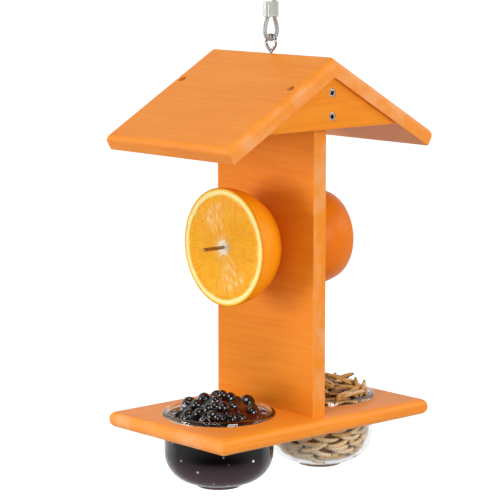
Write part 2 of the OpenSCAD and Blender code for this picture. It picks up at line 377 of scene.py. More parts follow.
def mark_end_grain(piece: Object, axis: Sequence[float]) -> None:
    """Marks the faces of a board that are cut across its grain.

    Args:
        piece: The finished board.
        axis: Direction of its grain.
    """
    along = Vector(axis)
    least, spread = 0.35, 0.5
    mark = piece.data.attributes.new(END_GRAIN, "FLOAT", "FACE")
    for face in piece.data.polygons:
        share = (abs(face.normal.dot(along)) - least) / spread
        mark.data[face.index].value = min(1.0, max(0.0, share))


def join(name: str, pieces: Sequence[Object]) -> Object:
    """Joins pieces into one.

    Args:
        name: The name of the whole.
        pieces: What is joined, one piece or more.

    Returns:
        The whole.
    """
    whole = take(*pieces)
    if len(pieces) > 1:
        bpy.ops.object.join()
    whole.name = name
    return whole


def copy_at(piece: Object, place: Matrix) -> Object:
    """Copies a piece with a mesh of its own.

    Args:
        piece: The pattern.
        place: The move that the copy's mesh gets.

    Returns:
        The copy.
    """
    twin = piece.copy()
    twin.data = piece.data.copy()
    twin.data.transform(place)
    bpy.context.scene.collection.objects.link(twin)
    return twin


def remove(piece: Object) -> None:
    """Deletes a cutter, or a pattern that was only copied from."""
    bpy.data.objects.remove(piece, do_unlink=True)


def fit_out(piece: Object, material: Material, body: str, nodes: Iterable[str]) -> Object:
    """Dresses a finished piece and ties it to the frame.

    Args:
        piece: The finished mesh.
        material: Its finish, for every face that has none.
        body: The body that it rides on.
        nodes: The CAD nodes that it stands for.

    Returns:
        The piece.
    """
    if not piece.data.materials:
        piece.data.materials.append(material)
    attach(piece, body)
    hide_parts(*nodes)
    LOG.info("%s: %d faces, rides on %s", piece.name, len(piece.data.polygons), body)
    return piece


# Sizes that several pieces share


@dataclass(frozen=True)
class Layout:
    """Heights and screw places, from the frame where its nodes give them."""

    deck_z: float
    ridge_h: float
    gable_face: float
    gable_top: float
    pitch: float = math.radians(30)
    board_t: float = 0.013
    cup_y: float = 0.054
    gable_screw_drop: float = 0.0115
    gable_screw_gap: float = 0.018
    roof_screw_x: float = 0.0625
    roof_screw_u: float = 0.043
    roof_screw_sink: float = 0.004
    base_screw_x: float = 0.030

    @classmethod
    def read(cls) -> "Layout":
        """Reads the heights that the frame gives.

        Returns:
            The layout.
        """
        deck_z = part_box("base_board")[1].z
        ridge_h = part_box("roof_board_front")[1].z - deck_z
        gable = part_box("gable_block_right")[1]
        return cls(deck_z, ridge_h, gable.x, gable.z - deck_z)

    @property
    def ridge_z(self) -> float:
        """Height of the roof's ridge in the frame."""
        return self.deck_z + self.ridge_h


# Shader graphs


class Graph:
    """A shader tree with short calls that add nodes and link them."""

    def __init__(self, tree: NodeTree) -> None:
        """Wraps a node tree, which is emptied first."""
        self.tree = tree
        tree.nodes.clear()

    def feed(self, socket: NodeSocket, value: Any) -> None:
        """Gives an input its value.

        Args:
            socket: The input.
            value: A socket to link to it, or a number, colour or vector to set.
        """
        if isinstance(value, NodeSocket):
            self.tree.links.new(value, socket)
        elif isinstance(value, tuple) and len(value) == 3 and socket.type == "RGBA":
            socket.default_value = (*value, 1.0)
        else:
            socket.default_value = value

    def add(self, kind: str, values: dict[Any, Any] | None = None, **settings: Any) -> Node:
        """Adds a node.

        Args:
            kind: The node's type, without its ShaderNode prefix.
            values: Inputs by name or number, each a value or a socket.
            settings: The node's own properties.

        Returns:
            The node.
        """
        made = self.tree.nodes.new("ShaderNode" + kind)
        for name, value in settings.items():
            setattr(made, name, value)
        for name, value in (values or {}).items():
            self.feed(made.inputs[name], value)
        return made

    def math(self, operation: str, *values: Any, clamp: bool = False) -> NodeSocket:
        """One step of arithmetic on up to three numbers."""
        return self.add("Math", dict(enumerate(values)), operation=operation, use_clamp=clamp).outputs[0]

    def times(self, first: Any, second: Any) -> NodeSocket:
        """The product of two numbers."""
        return self.math("MULTIPLY", first, second)

    def minus(self, first: Any, second: Any) -> NodeSocket:
        """The first number less the second."""
        return self.math("SUBTRACT", first, second)

    def scaled(self, value: Any, factor: Any, shift: Any) -> NodeSocket:
        """A number times a factor, plus a shift."""
        return self.math("MULTIPLY_ADD", value, factor, shift)

    def vector(self, operation: str, *values: Any) -> Node:
        """One step of arithmetic on vectors."""
        return self.add("VectorMath", dict(enumerate(values)), operation=operation)

    def mix(self, share: Any, first: Any, second: Any, blend: str = "MIX") -> NodeSocket:
        """Mixes two colours by a share from 0 to 1."""
        made = self.add("Mix", {0: share, 6: first, 7: second}, data_type="RGBA", blend_type=blend)
        return made.outputs[2]

    def mix_level(self, share: Any, first: Any, second: Any) -> NodeSocket:
        """Mixes two numbers by a share from 0 to 1."""
        return self.add("Mix", {0: share, 2: first, 3: second}, data_type="FLOAT").outputs[0]

    def step(self, value: Any, low: float, high: float, to: tuple[float, float] = (0, 1)) -> NodeSocket:
        """A soft step between two numbers.

        Args:
            value: What the step is taken on.
            low: The value at which the step starts; it may lie above the other.
            high: The value at which the step ends.
            to: The numbers before and after the step.

        Returns:
            The stepped number.
        """
        made = self.add(
            "MapRange",
            {"Value": value, "From Min": low, "From Max": high, "To Min": to[0], "To Max": to[1]},
            interpolation_type="SMOOTHSTEP",
        )
        return made.outputs[0]

    def noise(self, vector: Any, scale: float, detail: float = 3, rough: float = 0.5) -> NodeSocket:
        """Plain noise from 0 to 1."""
        made = self.add(
            "TexNoise", {"Vector": vector, "Scale": scale, "Detail": detail, "Roughness": rough}
        )
        return made.outputs[0]

    def ramp(self, value: Any, stops: Sequence[tuple[float, Colour]]) -> NodeSocket:
        """A colour ramp.

        Args:
            value: The number that picks the colour.
            stops: Position and colour of each stop.

        Returns:
            The colour.
        """
        made = self.add("ValToRGB", {0: value})
        elements = made.color_ramp.elements
        while len(elements) < len(stops):
            elements.new(0.5)
        for element, (position, colour) in zip(elements, stops):
            element.position = position
            element.color = (*colour, 1.0)
        return made.outputs[0]

    def place(self, spot: Sequence[float] = (0, 0, 0), scale: Sequence[float] = (1, 1, 1)) -> NodeSocket:
        """Object coordinates about a spot.

        Args:
            spot: Their centre.
            scale: Their scale along X, Y and Z.

        Returns:
            The coordinates.
        """
        source = self.add("TexCoord").outputs["Object"]
        centred = self.vector("SUBTRACT", source, tuple(spot)).outputs[0]
        return self.add("Mapping", {"Vector": centred, "Scale": tuple(scale)}).outputs[0]

    def bump(self, height: Any, strength: float, distance: float) -> NodeSocket:
        """A bump normal from a height."""
        return self.add("Bump", {"Height": height, "Strength": strength, "Distance": distance}).outputs[0]


def new_material(name: str) -> tuple[Material, Graph]:
    """Makes an empty node material.

    Args:
        name: The material's name.

    Returns:
        The material and its graph.
    """
    material = bpy.data.materials.new(name)
    material.use_nodes = True
    return material, Graph(material.node_tree)


def principled(graph: Graph, colour: Any, rough: Any, normal: Any, more: dict[str, Any]) -> None:
    """Adds the surface shader and the material's output.

    Args:
        graph: The graph of the finish.
        colour: Its base colour.
        rough: Its roughness.
        normal: Its bump normal, or none.
        more: Its other inputs by name.
    """
    values = {"Base Color": colour, "Roughness": rough, **more}
    if normal is not None:
        values["Normal"] = normal
    graph.add("OutputMaterial", {"Surface": graph.add("BsdfPrincipled", values).outputs[0]})


def new_group(
    name: str, inputs: Sequence[tuple[str, str, Any]], outputs: Sequence[tuple[str, str]]
) -> tuple[NodeTree, Graph, dict[str, NodeSocket], Node]:
    """Makes a shader node group with named sockets.

    Args:
        name: The group's name.
        inputs: Name, socket type and default of each input.
        outputs: Name and socket type of each output.

    Returns:
        The group, its graph, its inputs by name and its output node.
    """
    tree = bpy.data.node_groups.new(name, "ShaderNodeTree")
    for label, kind, default in inputs:
        socket = tree.interface.new_socket(label, in_out="INPUT", socket_type="NodeSocket" + kind)
        if default is not None:
            socket.default_value = default
    for label, kind in outputs:
        tree.interface.new_socket(label, in_out="OUTPUT", socket_type="NodeSocket" + kind)
    graph = Graph(tree)
    entry = tree.nodes.new("NodeGroupInput")
    leave = tree.nodes.new("NodeGroupOutput")
    return tree, graph, {s.name: s for s in entry.outputs if s.name}, leave


class SharedEffects:
    """Node groups that more than one finish uses, each built once."""

    def __init__(self) -> None:
        """Builds every group."""
        self.grain = self._grain()
        self.wear = self._wear()

    @staticmethod
    def _grain() -> NodeTree:
        """Long fibres and growth bands, X of its vector being along the grain.

        Returns:
            The group.
        """
        tree, g, inputs, leave = new_group(
            "wood_grain",
            [("Vector", "Vector", None), ("Fibre", "Float", 1.0), ("Band", "Float", 1.0)],
            [("Tone", "Float"), ("Height", "Float"), ("Fleck", "Float")],
        )
        wander = g.noise(g.vector("MULTIPLY", inputs["Vector"], (5, 5, 5)).outputs[0], 1.0, 2)
        lift = g.add("CombineXYZ", {"Y": g.times(wander, 0.012), "Z": g.times(wander, 0.016)})
        bent = g.vector("ADD", inputs["Vector"], lift.outputs[0]).outputs[0]
        fibre = g.noise(g.vector("MULTIPLY", bent, (32, 1100, 1100)).outputs[0], 1.0, 3, 0.6)
        streak = g.noise(g.vector("MULTIPLY", bent, (15, 370, 370)).outputs[0], 1.0, 2, 0.5)
        band = g.noise(g.vector("MULTIPLY", bent, (4, 95, 95)).outputs[0], 1.0, 2, 0.45)
        cloud = g.noise(g.vector("MULTIPLY", inputs["Vector"], (9, 26, 26)).outputs[0], 1.0, 2)
        fibres = g.times(g.minus(fibre, 0.5), inputs["Fibre"])
        streaks = g.times(g.minus(streak, 0.5), inputs["Band"])
        bands = g.times(g.minus(band, 0.5), inputs["Band"])
        tone = g.scaled(fibres, 0.5, 0.5)
        tone = g.scaled(streaks, 1.0, tone)
        tone = g.scaled(bands, 0.6, tone)
        tone = g.math("MULTIPLY_ADD", g.minus(cloud, 0.5), 0.35, tone, clamp=True)
        height = g.scaled(streaks, 0.6, g.times(fibres, 0.6))
        g.feed(leave.inputs["Tone"], tone)
        g.feed(leave.inputs["Height"], height)
        g.feed(leave.inputs["Fleck"], g.step(fibre, 0.66, 0.78))
        return tree

    @staticmethod
    def _wear() -> NodeTree:
        """Fine uneven marks of handling on metal.

        Returns:
            The group.
        """
        tree, g, inputs, leave = new_group(
            "fine_wear",
            [("Vector", "Vector", None), ("Scale", "Float", 300.0)],
            [("Mask", "Float"), ("Height", "Float")],
        )
        fine = g.add("TexNoise", {"Vector": inputs["Vector"], "Scale": inputs["Scale"], "Detail": 4.0})
        wide = g.times(inputs["Scale"], 0.18)
        blot = g.add("TexNoise", {"Vector": inputs["Vector"], "Scale": wide, "Detail": 2.0})
        mask = g.times(g.step(fine.outputs[0], 0.4, 0.7), g.step(blot.outputs[0], 0.35, 0.65))
        g.feed(leave.inputs["Mask"], mask)
        g.feed(leave.inputs["Height"], fine.outputs[0])
        return tree


class Grain(Enum):
    """The axis that a board's grain runs along, as the turn that brings it to X."""

    X = (0.0, 0.0, 0.0)
    Y = (0.0, 0.0, QUARTER_TURN)


@dataclass(frozen=True)
class StainedWood:
    """Orange stained softwood, satin, with its grain along one axis."""

    name: str
    grain: Grain
    offset: Place
    light: Colour = (0.89, 0.318, 0.030)
    mid: Colour = (0.82, 0.250, 0.012)
    dark: Colour = (0.72, 0.172, 0.003)
    end: Colour = (0.84, 0.270, 0.030)
    # Pale blotches on end grain: stain taken unevenly, and partly a painted sheen.
    end_stain_and_sheen: Colour = (0.85, 0.400, 0.170)
    fleck: Colour = (0.50, 0.085, 0.004)
    fibre: float = 0.8
    band: float = 0.42
    roughness: float = 0.46
    sheen: float = 0.3
    # Above 1 this is painted light: the whole board is made paler to stand in for the sheen on its top.
    lift: float = 1.0
    tilt: float = 0.0

    def material(self, shared: SharedEffects) -> Material:
        """Builds the finish.

        Args:
            shared: The node groups of the scene.

        Returns:
            The material.
        """
        material, g = new_material(self.name)
        source = g.add("TexCoord").outputs["Object"]
        turned = g.add("Mapping", {"Vector": source, "Rotation": (self.tilt, 0, 0)}).outputs[0]
        along = g.add(
            "Mapping", {"Vector": turned, "Rotation": self.grain.value, "Location": self.offset}
        ).outputs[0]
        across = g.add("Attribute", attribute_name=END_GRAIN).outputs["Fac"]
        rest = g.scaled(across, -0.85, 1.0)
        group = g.add("Group", node_tree=shared.grain)
        g.feed(group.inputs["Vector"], along)
        g.feed(group.inputs["Fibre"], g.times(rest, self.fibre))
        g.feed(group.inputs["Band"], g.times(rest, self.band))
        colour = g.ramp(group.outputs["Tone"], [(0.18, self.dark), (0.5, self.mid), (0.85, self.light)])
        fleck = g.times(group.outputs["Fleck"], g.times(rest, 0.14))
        colour = g.mix(fleck, colour, self.fleck)
        # End grain in pale blotches: uneven stain, and partly a painted sheen.
        stain_and_sheen_blotch = g.step(g.noise(turned, 60.0, 3), 0.38, 0.7)
        end = g.mix(stain_and_sheen_blotch, self.end, self.end_stain_and_sheen)
        colour = g.mix(g.times(across, 0.6), colour, end)
        # Painted light: the lift makes the whole board paler.
        colour = g.mix(1.0, colour, (self.lift, self.lift, self.lift), "MULTIPLY")
        rough = g.scaled(group.outputs["Tone"], 0.12, self.roughness - 0.06)
        normal = g.bump(group.outputs["Height"], 0.3, 0.0005)
        principled(g, colour, rough, normal, {"Specular IOR Level": self.sheen})
        return material


@dataclass(frozen=True)
class BrightMetal:
    """Polished or plated metal with faint handling marks."""

    name: str
    colour: Colour
    roughness: float
    marks: float = 0.12
    metallic: float = 1.0

    def material(self, shared: SharedEffects) -> Material:
        """Builds the finish.

        Args:
            shared: The node groups of the scene.

        Returns:
            The material.
        """
        material, g = new_material(self.name)
        wear = g.add("Group", node_tree=shared.wear)
        g.feed(wear.inputs["Vector"], g.place())
        g.feed(wear.inputs["Scale"], 900.0)
        dull = tuple(c * 0.7 for c in self.colour)
        colour = g.mix(g.times(wear.outputs["Mask"], 0.5), self.colour, dull)
        rough = g.scaled(wear.outputs["Mask"], self.marks, self.roughness)
        normal = g.bump(wear.outputs["Height"], 0.06, 0.0002)
        principled(g, colour, rough, normal, {"Metallic": self.metallic})
        return material


@dataclass(frozen=True)
class ClearGlass:
    """Clear pressed glass, very slightly uneven."""

    name: str = "clear_glass"

    def material(self) -> Material:
        """Builds the finish, which lets the lamps' light through to what lies in the cup.

        Returns:
            The material.
        """
        material, g = new_material(self.name)
        glass = g.add(
            "BsdfPrincipled",
            {
                "Base Color": (0.93, 0.955, 0.95),
                "Roughness": 0.0,
                "IOR": 1.5,
                "Transmission Weight": 1.0,
                "Normal": g.bump(g.noise(g.place(), 38.0, 1), 0.1, 0.001),
            },
        )
        thin = g.add("BsdfTransparent", {"Color": (0.86, 0.89, 0.88)})
        shadow = g.add("LightPath").outputs["Is Shadow Ray"]
        both = g.add("MixShader", {0: shadow, 1: glass.outputs[0], 2: thin.outputs[0]})
        g.add("OutputMaterial", {"Surface": both.outputs[0]})
        return material


@dataclass(frozen=True)
class CableCoat:
    """A smooth grey coat that shows a little of the rope's lay."""

    name: str = "cable_coat"
    lay: float = 26.0
    strands: float = 6.0
    # Painted shade in the lay's valleys and painted light on its crowns.
    shaded_valley: Colour = (0.27, 0.275, 0.265)
    lit_crown: Colour = (0.38, 0.385, 0.37)

    def material(self) -> Material:
        """Builds the finish, whose lay follows the cable's own UV map.

        Returns:
            The material.
        """
        material, g = new_material(self.name)
        spot = g.add("SeparateXYZ", {0: g.add("UVMap", uv_map="UVMap").outputs[0]})
        twist = g.scaled(spot.outputs[0], self.lay, g.times(spot.outputs[1], self.strands))
        wave = g.math("ABSOLUTE", g.math("SINE", g.times(twist, math.pi)))
        # Painted shade and light: darker in the lay's valleys, paler on its crowns.
        colour = g.mix(g.step(wave, 0.0, 0.7), self.shaded_valley, self.lit_crown)
        coat = {"Metallic": 0.1, "Coat Weight": 0.25, "Coat Roughness": 0.2}
        principled(g, colour, 0.4, g.bump(wave, 0.25, 0.0003), coat)
        return material


@dataclass(frozen=True)
class CitrusCut:
    """The cut face of an orange: segments, walls, core, pith and the rind's edge."""

    name: str
    centre: Place
    segments: int
    flesh_r: float
    rind_r: float
    core_r: float
    glint_turn: float = math.radians(114)
    pulp: Colour = (0.85, 0.322, 0.001)
    juicy: Colour = (0.93, 0.43, 0.002)
    cloudy: Colour = (0.88, 0.45, 0.016)
    ripe: Colour = (0.80, 0.26, 0.001)
    sac_skin: Colour = (0.97, 0.60, 0.05)
    # Colour of the painted highlight streaks.
    painted_glint: Colour = (0.96, 0.80, 0.45)
    glow: Colour = (1.0, 0.84, 0.48)
    pith: Colour = (0.92, 0.79, 0.30)
    pith_pale: Colour = (0.94, 0.87, 0.45)
    pith_inner: Colour = (0.88, 0.60, 0.08)
    rind: Colour = (0.88, 0.54, 0.02)
    rind_edge: Colour = (0.74, 0.24, 0.003)
    wall: Colour = (0.95, 0.64, 0.10)
    core: Colour = (0.90, 0.82, 0.68)

    def polar(self, g: Graph) -> tuple[NodeSocket, NodeSocket, NodeSocket]:
        """Places each point of the face about its middle.

        Args:
            g: The graph of the finish.

        Returns:
            The radius in metres, the turn in radians and the turn counted in segments.
        """
        spot = g.add("SeparateXYZ", {0: g.place(self.centre)})
        across, up = spot.outputs[0], spot.outputs[2]
        radius = g.math("SQRT", g.math("ADD", g.times(across, across), g.times(up, up)))
        turn = g.math("ARCTAN2", up, across)
        return radius, turn, g.times(turn, self.segments / FULL_TURN)

    def juice_sacs(self, g: Graph, radius: Any, turn: Any, share: Any) -> tuple[NodeSocket, ...]:
        """Patterns of the juice sacs, which lie along the radius.

        Args:
            g: The graph of the finish.
            radius: Distance from the middle.
            turn: Turn about the middle.
            share: The turn counted in segments.

        Returns:
            The distance to a sac's skin, a number of each sac's own, and fine streaks.
        """
        place = g.add(
            "CombineXYZ",
            {
                "X": g.times(turn, 15.0),
                "Y": g.times(radius, 125.0),
                "Z": g.times(g.math("FLOOR", share), 3.7),
            },
        ).outputs[0]
        skin = g.add("TexVoronoi", {"Vector": place, "Scale": 1.0}, feature="DISTANCE_TO_EDGE").outputs[0]
        tint = g.add("TexVoronoi", {"Vector": place, "Scale": 1.0}, feature="F1").outputs["Color"]
        own = g.add("SeparateColor", {0: tint}).outputs[0]
        fine = g.add("CombineXYZ", {"X": g.times(turn, 40.0), "Y": g.times(radius, 105.0)})
        return skin, own, g.noise(fine.outputs[0], 1.0, 3, 0.6)

    def pulp_colour(self, g: Graph, radius: Any, turn: Any, sacs: tuple[NodeSocket, ...]) -> NodeSocket:
        """Colours the flesh: streaks, clouds and sacs, with painted highlight streaks across two opposite
        sectors and a pale glow at the core.

        Args:
            g: The graph of the finish.
            radius: Distance from the middle.
            turn: Turn about the middle.
            sacs: The patterns of the juice sacs.

        Returns:
            The colour.
        """
        skin, own, streak = sacs
        pulp = g.mix(g.step(streak, 0.35, 0.65), self.pulp, self.juicy)
        cloud = g.noise(g.place(self.centre), 95.0, 2)
        pulp = g.mix(g.times(g.step(cloud, 0.45, 0.62), 0.45), pulp, self.cloudy)
        pulp = g.mix(g.times(own, 0.3), pulp, self.ripe)
        pulp = g.mix(g.times(g.step(skin, 0.09, 0.0), 0.3), pulp, self.sac_skin)
        # Painted highlight: pale streaks across two opposite sectors of the flesh.
        lean = g.math("ABSOLUTE", g.math("COSINE", g.minus(turn, self.glint_turn)))
        reach = g.times(g.step(radius, 0.036, 0.030), g.step(radius, 0.010, 0.017))
        painted_glint = g.times(g.step(streak, 0.52, 0.60), g.step(lean, 0.86, 0.97))
        pulp = g.mix(g.times(g.times(painted_glint, reach), 0.85), pulp, self.painted_glint)
        glow = g.times(g.step(radius, 0.014, 0.004), g.step(streak, 0.42, 0.62))
        return g.mix(g.times(glow, 0.6), pulp, self.glow)

    def pith_colour(self, g: Graph, radius: Any) -> NodeSocket:
        """Colours the pith, from the flesh out to the rind's edge.

        Args:
            g: The graph of the finish.
            radius: Distance from the middle.

        Returns:
            The colour.
        """
        pith = g.mix(g.noise(g.place(self.centre), 420.0, 3), self.pith, self.pith_pale)
        inner = g.step(g.minus(radius, self.flesh_r), 0.0016, -0.0004)
        pith = g.mix(g.times(inner, 0.7), pith, self.pith_inner)
        pith = g.mix(g.step(radius, self.rind_r - 0.0018, self.rind_r - 0.0002), pith, self.rind)
        return g.mix(g.step(radius, self.rind_r - 0.0003, self.rind_r + 0.0005), pith, self.rind_edge)

    def material(self) -> Material:
        """Builds the finish.

        Returns:
            The material.
        """
        material, g = new_material(self.name)
        radius, turn, share = self.polar(g)
        wobble = g.times(g.minus(g.noise(g.place(self.centre), 90.0, 2), 0.5), 0.22)
        within = g.math("FRACT", g.math("ADD", share, wobble))
        edge = g.times(g.math("ABSOLUTE", g.minus(within, 0.5)), 2.0)
        to_wall = g.times(g.times(g.minus(1.0, edge), radius), math.pi / self.segments)
        wall = g.step(to_wall, 0.0006, 0.0001)
        outer = g.scaled(g.math("POWER", edge, 5.0), -0.0012, self.flesh_r)
        flesh = g.step(g.minus(outer, radius), -0.0007, 0.0009)
        ragged = g.scaled(g.noise(g.place(self.centre), 420.0, 2), 0.0052, self.core_r - 0.0022)
        star = g.scaled(g.math("POWER", edge, 3.0), 0.0024, ragged)
        core = g.step(g.minus(star, radius), -0.0010, 0.0008)
        sacs = self.juice_sacs(g, radius, turn, share)
        skin, _, streak = sacs
        pulp = self.pulp_colour(g, radius, turn, sacs)
        colour = g.mix(flesh, self.pith_colour(g, radius), pulp)
        colour = g.mix(g.times(wall, g.times(flesh, 0.26)), colour, self.wall)
        height = g.times(g.math("ADD", g.step(skin, 0.0, 0.3), streak), flesh)
        depth = {
            "Specular IOR Level": 0.15,
            "Subsurface Weight": 0.15,
            "Subsurface Radius": (0.004, 0.002, 0.0006),
            "Subsurface Scale": 1.0,
        }
        rough = g.step(flesh, 0.0, 1.0, (0.5, 0.3))
        principled(g, g.mix(core, colour, self.core), rough, g.bump(height, 0.45, 0.0005), depth)
        return material


@dataclass(frozen=True)
class CitrusPeel:
    """Dimpled orange peel, a little glossy."""

    name: str
    pale: Colour
    deep: Colour
    pore: Colour

    def material(self) -> Material:
        """Builds the finish.

        Returns:
            The material.
        """
        material, g = new_material(self.name)
        pores = g.add("TexVoronoi", {"Vector": g.place(), "Scale": 720.0, "Randomness": 0.9}, feature="F1")
        pit = g.step(pores.outputs[0], 0.05, 0.5)
        colour = g.mix(g.noise(g.place(), 34.0, 2), self.deep, self.pale)
        colour = g.mix(g.times(g.step(pores.outputs[0], 0.22, 0.05), 0.3), colour, self.pore)
        height = g.scaled(g.noise(g.place(), 160.0, 2), 0.6, pit)
        principled(g, colour, 0.42, g.bump(height, 0.22, 0.0004), {"Specular IOR Level": 0.25})
        return material


@dataclass(frozen=True)
class DarkJelly:
    """Wet grape jelly, nearly black, red-brown at its right where it lies thin, partly a painted reflection
    of the orange post, with a few pale streaks of painted reflection at its left.
    """

    centre: Place
    name: str = "grape_jelly"
    deep: Colour = (0.004, 0.0014, 0.0026)
    # Red-brown at the right where the jelly lies thin, partly a painted reflection of the orange post.
    thin: Colour = (0.075, 0.0095, 0.0030)
    # Colour of the painted reflection streaks.
    streak: Colour = (0.62, 0.57, 0.63)

    def material(self) -> Material:
        """Builds the finish.

        Returns:
            The material.
        """
        material, g = new_material(self.name)
        spot = g.place(self.centre)
        side = g.vector("DOT_PRODUCT", spot, (0.45, 0.89, 0.0)).outputs["Value"]
        uneven = g.scaled(g.noise(spot, 110.0, 2), 0.03, side)
        colour = g.mix(g.step(uneven, 0.008, 0.034), self.deep, self.thin)
        # Painted reflection: pale streaks at the heap's left, where it would mirror the white surround.
        flow = g.add("Mapping", {"Vector": spot, "Rotation": (0.3, 0.2, 0.85), "Scale": (1.0, 0.28, 1.0)})
        ridge = g.math("ABSOLUTE", g.minus(g.noise(flow.outputs[0], 140.0, 1), 0.5))
        painted_sheen = g.times(g.step(ridge, 0.026, 0.008), g.step(uneven, 0.010, -0.010))
        sheen_patch = g.step(g.noise(spot, 90.0, 1), 0.44, 0.52)
        colour = g.mix(g.times(painted_sheen, sheen_patch), colour, self.streak)
        normal = g.bump(g.noise(g.place(), 85.0, 1, 0.4), 0.8, 0.0036)
        principled(g, colour, 0.05, normal, {"Specular IOR Level": 0.16})
        return material


@dataclass(frozen=True)
class JellyInGlass:
    """Jelly that lies against glass: almost black up under the board and plum further down, as painted
    shade and light, with pale specks and bubbles.
    """

    deck_z: float
    name: str = "jelly_in_glass"
    shaded_depth: float = 0.0251
    lit_depth: float = 0.0421
    deep: Colour = (0.0008, 0.0003, 0.0005)
    low: Colour = (0.052, 0.017, 0.031)
    bubble: Colour = (1.0, 0.95, 0.93)
    pulp: Colour = (0.60, 0.27, 0.36)

    def material(self) -> Material:
        """Builds the finish.

        Returns:
            The material.
        """
        material, g = new_material(self.name)
        height = g.add("SeparateXYZ", {0: g.place()}).outputs[2]
        # Painted shade and light: near black up under the board, plum further down.
        lower = g.step(height, self.deck_z - self.shaded_depth, self.deck_z - self.lit_depth)
        colour = g.mix(lower, self.deep, self.low)
        cells = g.add("TexVoronoi", {"Vector": g.place(), "Scale": 118.0}, feature="F1")
        seed = g.add("SeparateColor", {0: cells.outputs["Color"]})
        chosen = g.math("GREATER_THAN", seed.outputs[1], 0.1)
        size = g.scaled(seed.outputs[0], 0.09, 0.045)
        speck = g.times(g.step(g.math("DIVIDE", cells.outputs[0], size), 1.3, 0.7), chosen)
        pale = g.mix(seed.outputs[2], self.bubble, self.pulp)
        principled(g, g.mix(speck, colour, pale), 0.6, None, {"Specular IOR Level": 0.0})
        return material


@dataclass(frozen=True)
class BerrySkin:
    """Wet, nearly black berry skin."""

    name: str = "berry_skin"
    dark: Colour = (0.002, 0.0012, 0.002)
    warm: Colour = (0.012, 0.003, 0.003)

    def material(self) -> Material:
        """Builds the finish.

        Returns:
            The material.
        """
        material, g = new_material(self.name)
        cloud = g.noise(g.place(), 210.0, 3)
        colour = g.mix(g.step(cloud, 0.4, 0.7), self.dark, self.warm)
        normal = g.bump(g.noise(g.place(), 150.0, 1), 0.5, 0.0016)
        principled(g, colour, 0.2, normal, {"Specular IOR Level": 0.9})
        return material


@dataclass(frozen=True)
class DriedSkin:
    """Dried mealworm skin with ring marks, along the worm's own attribute."""

    name: str = "mealworm_skin"
    rings: int = 12
    ring: Colour = (0.16, 0.05, 0.011)
    tip: Colour = (0.07, 0.026, 0.012)

    def material(self) -> Material:
        """Builds the finish.

        Returns:
            The material.
        """
        material, g = new_material(self.name)
        along = g.add("Attribute", attribute_name=ALONG).outputs["Fac"]
        # The tone attribute carries painted shade and light along with each worm's own tone.
        tone = g.add("Attribute", attribute_name=TONE_AND_SHADING).outputs["Fac"]
        within = g.math("FRACT", g.times(along, float(self.rings)))
        cloud = g.minus(g.noise(g.place(), 260.0, 3), 0.5)
        base = g.ramp(
            g.scaled(cloud, 0.45, tone),
            [
                (0.0, (0.020, 0.008, 0.004)), (0.18, (0.19, 0.066, 0.011)), (0.5, (0.53, 0.24, 0.036)),
                (0.75, (0.71, 0.40, 0.135)), (1.0, (0.85, 0.60, 0.37)),
            ],
        )
        colour = g.mix(g.times(g.step(within, 0.68, 0.93), 0.45), base, self.ring)
        ends = g.math("ABSOLUTE", g.minus(along, 0.5))
        colour = g.mix(g.times(g.step(ends, 0.37, 0.48), 0.8), colour, self.tip)
        height = g.math("ADD", g.step(within, 0.9, 0.6), g.times(g.noise(g.place(), 900.0, 2), 0.3))
        principled(g, colour, 0.25, g.bump(height, 0.4, 0.0003), {"Specular IOR Level": 0.45})
        return material


